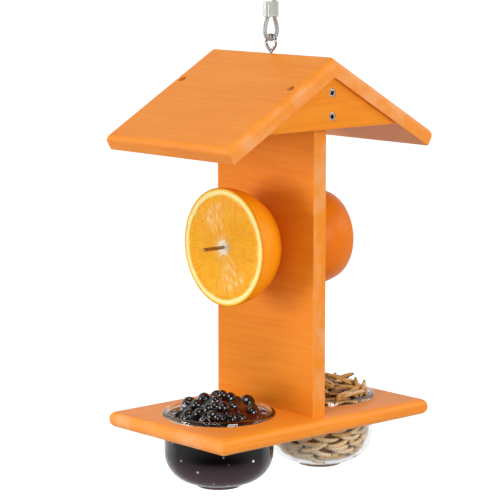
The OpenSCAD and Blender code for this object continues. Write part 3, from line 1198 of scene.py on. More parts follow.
@dataclass(frozen=True)
class Finishes:
    """Every finish of the feeder, built once."""

    wood: dict[str, Material]
    bright: Material
    zinc: Material
    skewer: Material
    recess: Material
    sunk: Material
    ferrule: Material
    glass: Material
    cable: Material
    peel: dict[Side, Material]
    jelly: Material
    filling: Material
    berry: Material
    worm: Material

    @classmethod
    def build(cls, layout: Layout) -> "Finishes":
        """Builds the finishes.

        Args:
            layout: The sizes that the roof's grain and the jelly's patterns follow.

        Returns:
            The finishes.
        """
        shared = SharedEffects()
        slope = layout.pitch
        boards = {
            # The base board gets painted light: its lift makes the colour paler for the sheen on its top.
            "base": StainedWood("wood_base", Grain.Y, (0.31, 0.02, 0.11), sheen=0.45, lift=1.1),
            "post": StainedWood("wood_post", Grain.X, (1.7, 0.4, 0.9), sheen=0.15),
            "gable": StainedWood("wood_gable", Grain.Y, (0.6, 0.8, 0.2), sheen=0.2),
            "roof_front": StainedWood("wood_roof_front", Grain.X, (2.3, 0.1, 0.5), sheen=0.4, tilt=-slope),
            "roof_back": StainedWood("wood_roof_back", Grain.X, (3.9, 0.7, 0.3), sheen=0.4, tilt=slope),
        }
        return cls(
            wood={name: finish.material(shared) for name, finish in boards.items()},
            bright=BrightMetal("bright_steel", (0.36, 0.34, 0.33), 0.24).material(shared),
            zinc=BrightMetal("zinc_steel", (0.66, 0.64, 0.58), 0.26, 0.1, 0.7).material(shared),
            skewer=BrightMetal("skewer_steel", (0.34, 0.235, 0.15), 0.2).material(shared),
            # Painted shade: the cross recesses are near black.
            recess=BrightMetal("recess_painted_shade", (0.035, 0.03, 0.028), 0.55).material(shared),
            # Painted shade: the roof screws' heads, sunk in their holes, are near black.
            sunk=BrightMetal("sunk_head_painted_shade", (0.045, 0.022, 0.011), 0.6).material(shared),
            ferrule=BrightMetal("ferrule_metal", (0.52, 0.54, 0.51), 0.34, 0.1, 0.3).material(shared),
            glass=ClearGlass().material(),
            cable=CableCoat().material(),
            peel={
                Side.FRONT: CitrusPeel(
                    "peel_front", (0.98, 0.34, 0.003), (0.94, 0.265, 0.002), (0.78, 0.15, 0.001)
                ).material(),
                # Painted shade: the back half's peel is a darker copy of the front's.
                Side.BACK: CitrusPeel(
                    "peel_back_painted_shade", (0.87, 0.225, 0.001), (0.76, 0.148, 0.001), (0.60, 0.08, 0.001)
                ).material(),
            },
            jelly=DarkJelly((0.0, -layout.cup_y, layout.deck_z)).material(),
            filling=JellyInGlass(layout.deck_z).material(),
            berry=BerrySkin().material(),
            worm=DriedSkin().material(),
        )


# The studio


@dataclass(frozen=True)
class Softbox:
    """A soft lamp, placed by its way and distance from what it lights."""

    name: str
    way: Place
    distance: float
    size: tuple[float, float]
    power: float
    tint: Colour = WHITE


def softboxes() -> list[Softbox]:
    """The key lamp at the view's left, a fill at its right, a top lamp and a rim lamp behind."""
    return [
        Softbox("key_lamp", (-0.41, -0.91, -0.03), 2.2, (0.62, 1.0), 25.5, (1.0, 0.985, 0.96)),
        Softbox("fill_lamp", (0.95, -0.22, 0.22), 2.2, (0.8, 0.8), 25.0, (1.0, 0.99, 0.98)),
        Softbox("top_lamp", (0.24, -0.52, 0.88), 2.0, (0.9, 0.8), 15.5),
        Softbox("rim_lamp", (0.62, 0.66, 0.30), 2.2, (0.6, 0.6), 6.5),
    ]


@dataclass
class Studio:
    """The camera at the photograph's angle, soft lamps, a pale floor and a white surround."""

    azimuth_deg: float = 48.18
    elevation_deg: float = 8.70
    distance: float = 1.77816
    sideways: float = -0.01619
    upwards: float = 0.12252
    lens_mm: float = 161.58
    floor_z: float = -0.95
    floor_size: float = 60.0
    floor_lit: Colour = (0.6, 0.6, 0.6)
    floor_seen: Colour = (0.86, 0.86, 0.86)
    floor_glow: float = 0.75
    sky_level: float = 0.37

    def axes(self) -> tuple[Vector, Vector, Vector]:
        """Works out how the camera is turned.

        Returns:
            Its right, up and back directions.
        """
        turn, lift = math.radians(self.azimuth_deg), math.radians(self.elevation_deg)
        back = Vector((math.sin(turn) * math.cos(lift), -math.cos(turn) * math.cos(lift), math.sin(lift)))
        right = Vector((math.cos(turn), math.sin(turn), 0))
        return right, back.cross(right), back

    def add_camera(self, deck_z: float) -> None:
        """Places the camera, which looks a little above the base board.

        Args:
            deck_z: Height of the base board's top.
        """
        right, up, back = self.axes()
        data = bpy.data.cameras.new("camera")
        data.lens = self.lens_mm
        data.sensor_width = 36.0
        data.clip_start, data.clip_end = 0.05, 100.0
        camera = bpy.data.objects.new("camera", data)
        bpy.context.scene.collection.objects.link(camera)
        spot = back * self.distance + right * self.sideways + up * self.upwards
        turn = Matrix((right, up, back)).transposed().to_4x4()
        camera.matrix_world = Matrix.Translation(spot + Vector((0, 0, deck_z))) @ turn
        bpy.context.scene.camera = camera

    def add_lamps(self, middle: Vector) -> None:
        """Sets up the softboxes.

        Args:
            middle: The point that they light.
        """
        for box in softboxes():
            data = bpy.data.lights.new(box.name, "AREA")
            data.shape = "RECTANGLE"
            data.size, data.size_y = box.size
            data.energy = box.power
            data.color = box.tint
            lamp = bpy.data.objects.new(box.name, data)
            bpy.context.scene.collection.objects.link(lamp)
            spot = middle + Vector(box.way) * box.distance
            lamp.location = spot
            lamp.rotation_euler = (spot - middle).to_track_quat("Z", "Y").to_euler()

    def behind(self, g: Graph, place: Any) -> NodeSocket:
        """How far a place or a direction lies behind the feeder, seen as in the photograph."""
        turn = math.radians(self.azimuth_deg)
        return g.vector("DOT_PRODUCT", place, (-math.sin(turn), math.cos(turn), 0.0)).outputs["Value"]

    @staticmethod
    def mirrored(g: Graph, rays: Node) -> NodeSocket:
        """1 for what metal mirrors or glass shows, and 0 for the rest."""
        return g.math("MAXIMUM", rays.outputs["Is Glossy Ray"], rays.outputs["Is Transmission Ray"])

    def add_world(self) -> None:
        """Makes the surround: white to the camera, and in mirrors darker on the camera's side."""
        world = bpy.data.worlds.new("surround")
        bpy.context.scene.world = world
        world.use_nodes = True
        g = Graph(world.node_tree)
        rays = g.add("LightPath")
        direction = g.add("TexCoord").outputs["Generated"]
        behind = g.step(self.behind(g, direction), -0.3, 0.35, (0.08, 1.0))
        height = g.add("SeparateXYZ", {0: direction}).outputs[2]
        upper = g.times(g.step(height, -1.0, -0.2, (0.6, 1.0)), g.step(height, 0.62, 0.86, (1.0, 0.1)))
        level = g.mix_level(self.mirrored(g, rays), self.sky_level, g.times(upper, behind))
        level = g.mix_level(rays.outputs["Is Camera Ray"], level, 1.0)
        background = g.add("Background", {"Color": WHITE, "Strength": level})
        g.add("OutputWorld", {"Surface": background.outputs[0]})

    def add_floor(self) -> None:
        """Lays a pale floor that keeps the shadow, is white to the camera and mirrors as the surround."""
        clear_selection()
        bpy.ops.mesh.primitive_plane_add(size=self.floor_size, location=(0, 0, self.floor_z))
        floor = place_in_mesh(bpy.context.object)
        floor.name = "studio_floor"
        material, g = new_material("studio_floor")
        rays = g.add("LightPath")
        seen = rays.outputs["Is Camera Ray"]
        matt = g.add("BsdfDiffuse", {"Color": g.mix(seen, self.floor_lit, self.floor_seen)})
        glow = g.add("Emission", {"Color": WHITE, "Strength": self.floor_glow})
        lit = g.add("AddShader", {0: matt.outputs[0], 1: glow.outputs[0]})
        plain = g.add("MixShader", {0: seen, 1: matt.outputs[0], 2: lit.outputs[0]})
        away = self.behind(g, g.place())
        near = g.step(away, -1.8, -0.25, (0.04, 0.6))
        level = g.math("MAXIMUM", near, g.step(away, -0.4, 0.8))
        mirror = g.add("Emission", {"Color": WHITE, "Strength": level})
        both = g.add("MixShader", {0: self.mirrored(g, rays), 1: plain.outputs[0], 2: mirror.outputs[0]})
        g.add("OutputMaterial", {"Surface": both.outputs[0]})
        floor.data.materials.append(material)
        floor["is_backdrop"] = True


# The hanger


def hang_route() -> list[tuple[float, float]]:
    """Y and Z in millimetres of the cable's centre line, from its lower end to its upper one."""
    return [
        (-3.6, -93), (-3.6, -99), (-3.6, -105), (-4.2, -107), (-5.3, -110), (-6, -113),
        (-6.2, -115.5), (-5.8, -118), (-4.5, -120.2), (-2.4, -121.5), (0, -122),
        (2.4, -121.5), (4.5, -120.2), (5.8, -118), (6.2, -115.5), (6, -113),
        (5.3, -110), (4.2, -107), (3.6, -105), (3.6, -99), (3.6, -92), (3.6, -84),
        (3.6, -76), (3.6, -68), (3.6, -62), (3.6, -56), (3.6, -50), (4.4, -46),
        (6.6, -39), (9, -32), (11, -25), (12, -18), (12, -12), (11, -7), (9, -3),
        (6.2, 0), (3.2, 1.2), (0, 1.6), (-3.2, 1.2), (-6.2, 0), (-9, -3), (-11, -7),
        (-12, -12), (-12, -18), (-11, -25), (-9, -32), (-6.6, -39), (-4.4, -46),
        (-3.6, -50), (-3.6, -56), (-3.6, -61.8),
    ]


@dataclass
class CableHanger:
    """A coated cable with a pressed loop at each end."""

    finishes: Finishes
    diameter: float = 0.0032
    strand_y: float = 0.0036
    wall: float = 0.0017
    waist: float = 0.80
    rim: float = 0.00045
    bands: tuple[tuple[float, float], ...] = ((0.14, 0.24), (0.44, 0.56), (0.76, 0.86))
    band_press: float = 0.95
    band_narrow: float = 0.985

    def cable(self, ferrules: Sequence[Object]) -> None:
        """Args:
            ferrules: The sleeves that are pressed on it; not used.
        """
        path = [(0.0, y / MM_PER_M, z / MM_PER_M) for y, z in hang_route()]
        clear_selection()
        bpy.ops.curve.primitive_bezier_curve_add(location=(0, 0, 0))
        cable = bpy.context.object
        spline = cable.data.splines[0]
        spline.bezier_points.add(len(path) - len(spline.bezier_points))
        for point, spot in zip(spline.bezier_points, path):
            point.co = spot
            point.handle_left_type = point.handle_right_type = "AUTO"
        cable.data.resolution_u = 5
        cable.data.bevel_depth = self.diameter / 2
        cable.data.bevel_resolution = 6
        cable.data.use_fill_caps = True
        bpy.ops.object.convert(target="MESH")
        cable = join("hanging_cable_rope", [bpy.context.object])
        smooth(cable, 60, weighted=False)
        fit_out(cable, self.finishes.cable, HANGER, ["hanging_cable"])

    def ferrule(self, node: str) -> Object:
        """Presses one oval sleeve over both strands.

        Args:
            node: The CAD node that it stands for.

        Returns:
            The sleeve.
        """
        low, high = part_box(node)
        lobe = self.diameter / 2 + self.wall
        middle = (low + high) / 2
        start, end = Vector((0, 0, low.z)), Vector((0, 0, high.z))
        sleeve = rod_piece(node + "_sleeve", lobe, start, end, vertices=64)
        bands = [[low.z + (high.z - low.z) * share for share in band] for band in self.bands]
        with editing(sleeve):
            for side in (-1, 1):
                pick(sleeve, Domain.VERT, lambda v, s=side: s * v.co.y > NEAR)
                bpy.ops.transform.translate(value=(0, side * self.strand_y, 0))
            pick(sleeve, Domain.VERT, lambda v: abs(v.co.y) < NEAR)
            bpy.ops.transform.resize(value=(self.waist, 1, 1), center_override=(0, 0, middle.z))
            for level in (level for band in bands for level in band):
                bpy.ops.mesh.select_all(action="SELECT")
                bpy.ops.mesh.bisect(plane_co=(0, 0, level), plane_no=(0, 0, 1))
            for bottom, top in bands:
                pick(sleeve, Domain.VERT, lambda v, m=bottom, n=top: m - NEAR < v.co.z < n + NEAR)
                bpy.ops.transform.resize(
                    value=(self.band_press, self.band_narrow, 1), center_override=(0, 0, middle.z)
                )
        ends = (low.z, high.z)
        round_edges(sleeve, self.rim, 4, lambda e: any(all_at(e, 2, z) for z in ends))
        smooth(sleeve, 50)
        return fit_out(sleeve, self.finishes.ferrule, HANGER, [node])

    def build(self) -> None:
        """Makes both sleeves and the cable."""
        ferrules = [self.ferrule("lower_ferrule"), self.ferrule("upper_ferrule")]
        self.cable(ferrules)


@dataclass
class ScrewEye:
    """One wire, bent round into a closed teardrop on a shank that is screwed into the ridge."""

    finishes: Finishes
    layout: Layout
    wire_r: float = 0.0012
    ring_r: float = 0.0055
    top: float = 0.0153
    shank_in: float = 0.042
    bend_r: float = 0.0016
    lean_deg: float = 48.0
    end_gap: float = 0.00075

    def build(self) -> None:
        """Extrudes the shank, spins the neck and the ring, and closes the wire's other leg."""
        lean = math.radians(self.lean_deg)
        ridge_z = self.layout.ridge_z
        ring_z = ridge_z + self.top - self.wire_r - self.ring_r
        leg = (self.ring_r * math.cos(lean) - self.bend_r * (1 - math.cos(lean))) / math.sin(lean)
        drop = (self.bend_r + self.ring_r) * math.sin(lean) + leg * math.cos(lean)
        bend_z, foot_z = ring_z - drop, ridge_z - self.shank_in
        clear_selection()
        bpy.ops.mesh.primitive_circle_add(
            vertices=24, radius=self.wire_r, fill_type="NGON", location=(0, 0, foot_z)
        )
        eye = place_in_mesh(bpy.context.object)
        away = Vector((math.sin(lean), 0, math.cos(lean)))
        back = Vector((math.sin(lean), 0, -math.cos(lean)))
        with editing(eye, Domain.FACE):
            bpy.ops.mesh.select_all(action="SELECT")
            rise = Vector((0, 0, bend_z - foot_z))
            bpy.ops.mesh.extrude_region_move(TRANSFORM_OT_translate={"value": rise})
            bpy.ops.mesh.spin(steps=12, angle=-lean, center=(self.bend_r, 0, bend_z), axis=(0, 1, 0))
            bpy.ops.mesh.extrude_region_move(TRANSFORM_OT_translate={"value": away * leg})
            around = math.pi + 2 * lean
            bpy.ops.mesh.spin(steps=64, angle=around, center=(0, 0, ring_z), axis=(0, 1, 0))
            last = back * (leg - self.end_gap)
            bpy.ops.mesh.extrude_region_move(TRANSFORM_OT_translate={"value": last})
            bpy.ops.mesh.select_all(action="SELECT")
            bpy.ops.mesh.normals_make_consistent(inside=False)
        eye.name = "screw_eye_wire"
        smooth(eye, 50, weighted=False)
        fit_out(eye, self.finishes.bright, FEEDER, ["screw_eye"])


# The boards


@dataclass
class BaseBoard:
    """The base board, rounded all round, with a hole for each cup."""

    finishes: Finishes
    layout: Layout
    edge_r: float = 0.0055
    hole_r: float = 0.0430
    screw_head_r: float = 0.0033
    screw_depth: float = 0.0025
    past: float = 0.01

    def build(self) -> None:
        """Rounds a board's long edges and cuts its holes."""
        low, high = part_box("base_board")
        board = box_piece("base_board_wood", low, high)
        round_edges(board, self.edge_r, 10, is_level)
        for y in (-self.layout.cup_y, self.layout.cup_y):
            start, end = Vector((0, y, low.z - self.past)), Vector((0, y, high.z + self.past))
            drill(board, self.hole_r, start, end, 160)
        for x in (-self.layout.base_screw_x, self.layout.base_screw_x):
            start, end = Vector((x, 0, low.z - self.past)), Vector((x, 0, low.z + self.screw_depth))
            drill(board, self.screw_head_r, start, end)
        mark_end_grain(board, (0, 1, 0))
        smooth(board)
        fit_out(board, self.finishes.wood["base"], FEEDER, ["base_board"])


@dataclass
class PostBoard:
    """The wide upright board."""

    finishes: Finishes
    ease_r: float = 0.001

    def build(self) -> None:
        """Eases the upright corners of a board."""
        board = box_piece("post_board_wood", *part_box("post_board"))
        round_edges(board, self.ease_r, 4, lambda e: not is_level(e))
        mark_end_grain(board, (1, 0, 0))
        smooth(board)
        fit_out(board, self.finishes.wood["post"], FEEDER, ["post_board"])


@dataclass
class GableBlock:
    """The triangular block under one end of the ridge."""

    finishes: Finishes
    layout: Layout
    side: Side
    head_r: float = 0.0034
    head_depth: float = 0.0025
    past: float = 0.005
    ease_r: float = 0.0004

    def build(self) -> None:
        """Bisects a board to the roof's slopes and sinks its screw holes."""
        node = "gable_block_" + self.side.label
        low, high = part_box(node)
        block = box_piece(node + "_wood", low, high)
        with editing(block, Domain.FACE):
            for way in (-1, 1):
                bpy.ops.mesh.select_all(action="SELECT")
                slope = (0, way * math.sin(self.layout.pitch), math.cos(self.layout.pitch))
                bpy.ops.mesh.bisect(
                    plane_co=(0, 0, high.z), plane_no=slope, use_fill=True, clear_outer=True
                )
        round_edges(block, self.ease_r, 2, lambda e: True)
        face_x = high.x if self.side is Side.RIGHT else low.x
        for i in (0, 1):
            height = high.z - self.layout.gable_screw_drop - i * self.layout.gable_screw_gap
            spot = Vector((face_x, 0, height))
            inner = spot - Vector((self.side.sign * self.head_depth, 0, 0))
            outer = spot + Vector((self.side.sign * self.past, 0, 0))
            drill(block, self.head_r, inner, outer)
        mark_end_grain(block, (0, 1, 0))
        smooth(block)
        fit_out(block, self.finishes.wood["gable"], FEEDER, [node])


@dataclass
class RoofBoard:
    """One roof board: mitred at the ridge, its upper edges rounded, two sunk screw holes."""

    finishes: Finishes
    layout: Layout
    side: Side
    slant: float = 0.1245
    past_ridge: float = 0.03
    edge_r: float = 0.0055
    ease_r: float = 0.0006
    head_r: float = 0.00325
    head_h: float = 0.003
    hole_l: float = 0.02

    def build(self) -> None:
        """Rounds a slab, tilts it to the pitch and cuts its mitre and holes."""
        node = "roof_board_" + self.side.label
        low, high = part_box(node)
        layout, way = self.layout, self.side.sign
        ridge_y = -way * self.past_ridge
        ends = sorted((ridge_y, way * self.slant))
        board = box_piece(node + "_wood", (low.x, ends[0], -layout.board_t), (high.x, ends[1], 0))
        for level, radius, strips in ((0, self.edge_r, 10), (-layout.board_t, self.ease_r, 3)):
            round_edges(
                board, radius, strips, lambda e, z=level: all_at(e, 2, z) and not all_at(e, 1, ridge_y)
            )
        for x in (-layout.roof_screw_x, layout.roof_screw_x):
            start = Vector((x, way * layout.roof_screw_u, -layout.roof_screw_sink - self.head_h))
            drill(board, self.head_r, start, start + Vector((0, 0, self.hole_l)))
        put(board, (0, 0, layout.ridge_z), (-way * layout.pitch, 0, 0))
        with editing(board, Domain.FACE):
            bpy.ops.mesh.select_all(action="SELECT")
            bpy.ops.mesh.bisect(
                plane_co=(0, 0, 0), plane_no=(0, -way, 0), use_fill=True, clear_outer=True
            )
        mark_end_grain(board, (1, 0, 0))
        smooth(board)
        finish = self.finishes.wood["roof_" + self.side.label]
        fit_out(board, finish, FEEDER, [node])


@dataclass
class Screw:
    """A countersunk cross-recess screw, made once and copied."""

    length: float
    head_r: float = 0.0032
    shank_r: float = 0.00175
    head_rim: float = 0.0007
    tip: float = 0.004
    arm_w: float = 0.0017
    arm_l: float = 0.0040
    recess: float = 0.0014

    def pattern(self, head: Material, recess: Material) -> Object:
        """Turns a screw with its head's top at the origin and its point down.

        Args:
            head: Finish of its head and shank.
            recess: Finish of the recess's floor and walls, near black as painted shade.

        Returns:
            The screw.
        """
        neck = -self.head_rim - (self.head_r - self.shank_r)
        profile = [
            (0, 0), (self.head_r * 0.8, 0), (self.head_r * 0.95, -0.0001), (self.head_r, -0.0003),
            (self.head_r, -self.head_rim), (self.shank_r, neck),
            (self.shank_r, self.tip - self.length), (0, -self.length),
        ]
        screw = turned_piece("screw", profile, 36)
        screw.data.materials.append(head)
        screw.data.materials.append(recess)
        for turn in (0, QUARTER_TURN):
            half = Vector((self.arm_l / 2, self.arm_w / 2, 0))
            arm = box_piece("arm", -half - Vector((0, 0, self.recess)), half + Vector((0, 0, 0.001)))
            cut_away(screw, put(arm, (0, 0, 0), (0, 0, turn)))
        for face in screw.data.polygons:
            inside = face.center.xy.length < self.arm_l / 2
            face.material_index = int(inside and -self.recess * 1.01 < face.center.z < -NEAR)
        smooth(screw, 30)
        return screw


@dataclass
class Screws:
    """Every screw of the feeder, two to a node."""

    finishes: Finishes
    layout: Layout
    flush: float = 0.0003
    gable_l: float = 0.036
    roof_l: float = 0.022
    base_l: float = 0.040

    def pair(self, node: str, length: float, places: Sequence[Matrix], head: Material) -> None:
        """Copies a screw to its two places and joins the copies.

        Args:
            node: The CAD node that they stand for.
            length: Length of a screw.
            places: The place of each copy.
            head: Finish of their heads.
        """
        pattern = Screw(length).pattern(head, self.finishes.recess)
        copies = [copy_at(pattern, place) for place in places]
        remove(pattern)
        pair = join(node + "_pair", copies)
        fit_out(pair, self.finishes.zinc, FEEDER, [node])

    def build(self) -> None:
        """Sets all the screws."""
        layout = self.layout
        deck = Matrix.Translation((0, 0, layout.deck_z))
        for side in (Side.LEFT, Side.RIGHT):
            places = []
            for i in (0, 1):
                height = layout.gable_top - layout.gable_screw_drop - i * layout.gable_screw_gap
                spot = Matrix.Translation((side.sign * (layout.gable_face - self.flush), 0, height))
                twist = Matrix.Rotation(0.5 + 1.1 * i, 4, "Z")
                places.append(deck @ spot @ Matrix.Rotation(side.sign * QUARTER_TURN, 4, "Y") @ twist)
            self.pair("gable_screws_" + side.label, self.gable_l, places, self.finishes.zinc)
        for side in (Side.FRONT, Side.BACK):
            tilt = Matrix.Rotation(-side.sign * layout.pitch, 4, "X")
            places = [
                deck
                @ Matrix.Translation((x, 0, layout.ridge_h))
                @ tilt
                @ Matrix.Translation((0, side.sign * layout.roof_screw_u, -layout.roof_screw_sink))
                for x in (-layout.roof_screw_x, layout.roof_screw_x)
            ]
            # These sunk heads get the near-black painted shade.
            self.pair("roof_screws_" + side.label, self.roof_l, places, self.finishes.sunk)
        under = [
            deck
            @ Matrix.Translation((x, 0, self.flush - layout.board_t))
            @ Matrix.Rotation(math.pi, 4, "X")
            for x in (-layout.base_screw_x, layout.base_screw_x)
        ]
        self.pair("base_screws", self.base_l, under, self.finishes.zinc)


# The fruit


@dataclass
class FruitSkewer:
    """The blunt polished rod that holds both orange halves."""

    finishes: Finishes
    nose: float = 0.0006

    def build(self) -> None:
        """Turns the rod and lays it along Y."""
        low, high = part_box("fruit_skewer")
        radius, half = (high.x - low.x) / 2, (high.y - low.y) / 2
        middle = (low + high) / 2
        top = arc((radius - self.nose, half - self.nose), self.nose, 0, 90, 5)
        profile = [(0, -half)] + [(r, -z) for r, z in reversed(top)] + top + [(0, half)]
        rod = put(turned_piece("fruit_skewer_rod", profile, 40), middle, (QUARTER_TURN, 0, 0))
        smooth(rod, 50, weighted=False)
        fit_out(rod, self.finishes.skewer, FEEDER, ["fruit_skewer"])


@dataclass
class OrangeHalf:
    """A cut orange, its cut face outwards and its pole at the post."""

    finishes: Finishes
    side: Side
    pole_flat: float = 0.003
    rind: float = 0.0011
    pith: float = 0.0044
    core_r: float = 0.0046
    segments: int = 10
    around: int = 220
    rings: int = 52
    lip: float = 0.0007
    pulp_swell: float = 0.0005
    pith_dip: float = 0.0002
    grain: float = 0.00016
    core_ramp: float = 0.004
    skin_ramp: float = 0.002
    dent: float = 0.0004
    variety: float = 5.0

    def relief(self, radius: float, turn: float, flesh_r: float) -> float:
        """How far the cut face stands out at a place on it.

        Args:
            radius: Distance from the middle.
            turn: Angle round the middle.
            flesh_r: Radius at which the flesh ends.

        Returns:
            The height, in metres.
        """
        share = turn * self.segments / FULL_TURN
        edge = abs((share % 1.0) - 0.5) * 2
        if radius > flesh_r:
            return -self.pith_dip * math.sin(math.pi * min(1.0, (radius - flesh_r) / self.pith))
        inward = min(1.0, max(0.0, (radius - self.core_r) / self.core_ramp))
        outward = min(1.0, (flesh_r - radius) / self.skin_ramp)
        swell = self.pulp_swell * (1 - edge**6) * inward * outward
        spot = Vector((turn * 14 + self.side.sign * self.variety, radius * 260, math.floor(share)))
        return swell + self.grain * noise.noise(spot) * inward * outward

    def build(self) -> None:
        """Turns the fruit, raises its segments and dresses its face and peel."""
        node = "orange_half_" + self.side.label
        low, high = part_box(node)
        way = self.side.sign
        cut_y = high.y if way > 0 else low.y
        middle = Vector((0, cut_y, (low.z + high.z) / 2))
        depth = high.y - low.y
        curve = (high.x - low.x) / 2 - self.pole_flat
        past = depth - curve
        cut_r = self.pole_flat + math.sqrt(curve**2 - past**2)
        flesh_r = cut_r - self.rind - self.pith
        start = math.degrees(math.asin(past / curve) - 1.2 * self.lip / curve)
        face = [((cut_r - self.lip) * i / self.rings, 0.0) for i in range(self.rings + 1)]
        edge = arc((cut_r - self.lip, -self.lip), self.lip, 80, 10, 4)
        shell = arc((self.pole_flat, -past), curve, start, -90, 46)
        half = turned_piece(node + "_fruit", face + edge + shell + [(0, -depth)], self.around)
        for vert in half.data.vertices:
            reach = vert.co.xy.length
            if abs(vert.co.z) < NEAR and reach < cut_r - self.lip * 1.01:
                vert.co.z += self.relief(reach, math.atan2(vert.co.y, vert.co.x), flesh_r)
            elif vert.co.z < -self.lip * 1.5:
                dent = abs(noise.noise(vert.co * 60 + Vector((self.variety * way, 0, 0)))) * self.dent
                vert.co -= vert.co.normalized() * dent
        put(half, middle, (-way * QUARTER_TURN, 0, 0))
        cut = CitrusCut(
            "orange_cut_" + self.side.label, tuple(middle), self.segments,
            flesh_r, cut_r - self.rind, self.core_r,
        )
        half.data.materials.append(cut.material())
        half.data.materials.append(self.finishes.peel[self.side])
        for polygon in half.data.polygons:
            polygon.material_index = 0 if abs(polygon.center.y - cut_y) < self.lip * 1.2 else 1
        smooth(half, 60, weighted=False)
        fit_out(half, self.finishes.peel[self.side], FEEDER, [node])


# The cups and their food


@dataclass
class GlassCup:
    """A glass cup that hangs by its bead rim in the base board."""

    finishes: Finishes
    layout: Layout
    side: Side
    cup_r: float = 0.0425
    wall: float = 0.0026
    rim_over: float = 0.0015
    rim_h: float = 0.0036
    drop: float = 0.0555
    foot_r: float = 0.0185
    foot_h: float = 0.003
    foot_wall: float = 0.0035
    steps: int = 160

    @property
    def place(self) -> Vector:
        """Where the cup's axis meets the top of the base board."""
        return Vector((0, self.side.sign * self.layout.cup_y, self.layout.deck_z))

    @property
    def inner_r(self) -> float:
        """Radius of the cup's inside at its rim."""
        return self.cup_r - self.wall

    @property
    def curve_z(self) -> float:
        """Height of the middle of the belly's arc."""
        return -(self.drop - self.foot_h - (self.cup_r - self.foot_r))

    def inner(self, gap: float, top: float, steps: int = 24) -> list[tuple[float, float]]:
        """Profile of what fills the cup, from its bottom up the wall.

        Args:
            gap: Space left to the glass.
            top: Height at which it ends.
            steps: How many stretches its curve has.

        Returns:
            Radius and height of each point.
        """
        curve = self.cup_r - self.foot_r - self.wall - gap
        belly = arc((self.foot_r, self.curve_z), curve, -90, 0, steps)
        return [(0, self.curve_z - curve), *belly, (self.inner_r - gap, top)]

    def build(self) -> None:
        """Turns the cup's section: the foot, the belly, the bead and the inside."""
        node = "glass_cup_" + self.side.label
        bead = (self.wall + self.rim_over) / 2
        bead_mid = (self.inner_r + bead, self.rim_h - bead)
        foot = self.foot_r - self.foot_wall
        outer = arc((self.foot_r, self.curve_z), self.cup_r - self.foot_r, -80, 0, 28)
        profile = [
            (0, -self.drop + 0.0015), (foot - 0.001, -self.drop + 0.0015), (foot, -self.drop + 0.0008),
            (foot + 0.0006, -self.drop), (self.foot_r - 0.0008, -self.drop),
            (self.foot_r, -self.drop + 0.0008), (self.foot_r + 0.0003, -self.drop + self.foot_h * 0.7),
            *outer, (self.cup_r, -0.0006), (self.cup_r + 0.0004, 0.0),
            *arc(bead_mid, bead, -35, 180, 22),
            *reversed(self.inner(0, bead_mid[1] - 0.0003, 28)),
        ]
        cup = turned_piece(node + "_glass", profile, self.steps)
        put(cup, self.place)
        smooth(cup, 60, weighted=False)
        fit_out(cup, self.finishes.glass, FEEDER, [node])


@dataclass(frozen=True)
class Berry:
    """One berry in the heap, in millimetres from the cup's axis and the deck."""

    x: float
    y: float
    z: float
    r: float


def berry_heap() -> list[Berry]:
    """The berries, from the top of the heap down to its edge."""
    rows = (
        (4.0, 0.0, 16.2, 3.5), (-0.6, -1.9, 15.0, 4.0), (7.7, 4.3, 13.2, 4.5), (-9.7, -7.0, 12.2, 4.2),
        (6.7, -8.9, 12.6, 4.1), (18.6, -11.1, 10.4, 4.5), (17.4, -0.9, 9.2, 4.0), (12.7, -15.1, 10.6, 3.7),
        (-20.0, -13.2, 7.6, 4.8), (8.2, -17.0, 7.6, 4.7), (-7.9, -15.7, 8.6, 4.2), (-11.8, -16.5, 5.0, 3.9),
        (-0.9, 30.0, 4.8, 5.6), (25.6, 11.8, 4.0, 4.2), (17.4, 12.0, 4.4, 2.9), (19.2, -22.5, 4.8, 4.6),
        (24.4, -19.2, 4.4, 3.6), (28.2, -12.2, 3.4, 3.9),
        (29.6, -3.6, 2.8, 3.7), (-6.2, -25.0, 2.2, 4.6), (3.3, -22.3, 4.0, 4.6), (-8.0, 10.0, 9.0, 4.4),
        (-18.0, 2.0, 7.6, 4.6), (3.0, 15.0, 8.6, 4.2), (-16.0, 18.0, 4.4, 4.8), (-27.0, -2.0, 3.6, 4.4),
        (12.0, 24.0, 3.2, 3.8), (-6.0, 24.0, 4.0, 3.6), (-26.0, 12.0, 3.0, 3.8),
    )
    return [Berry(*row) for row in rows]


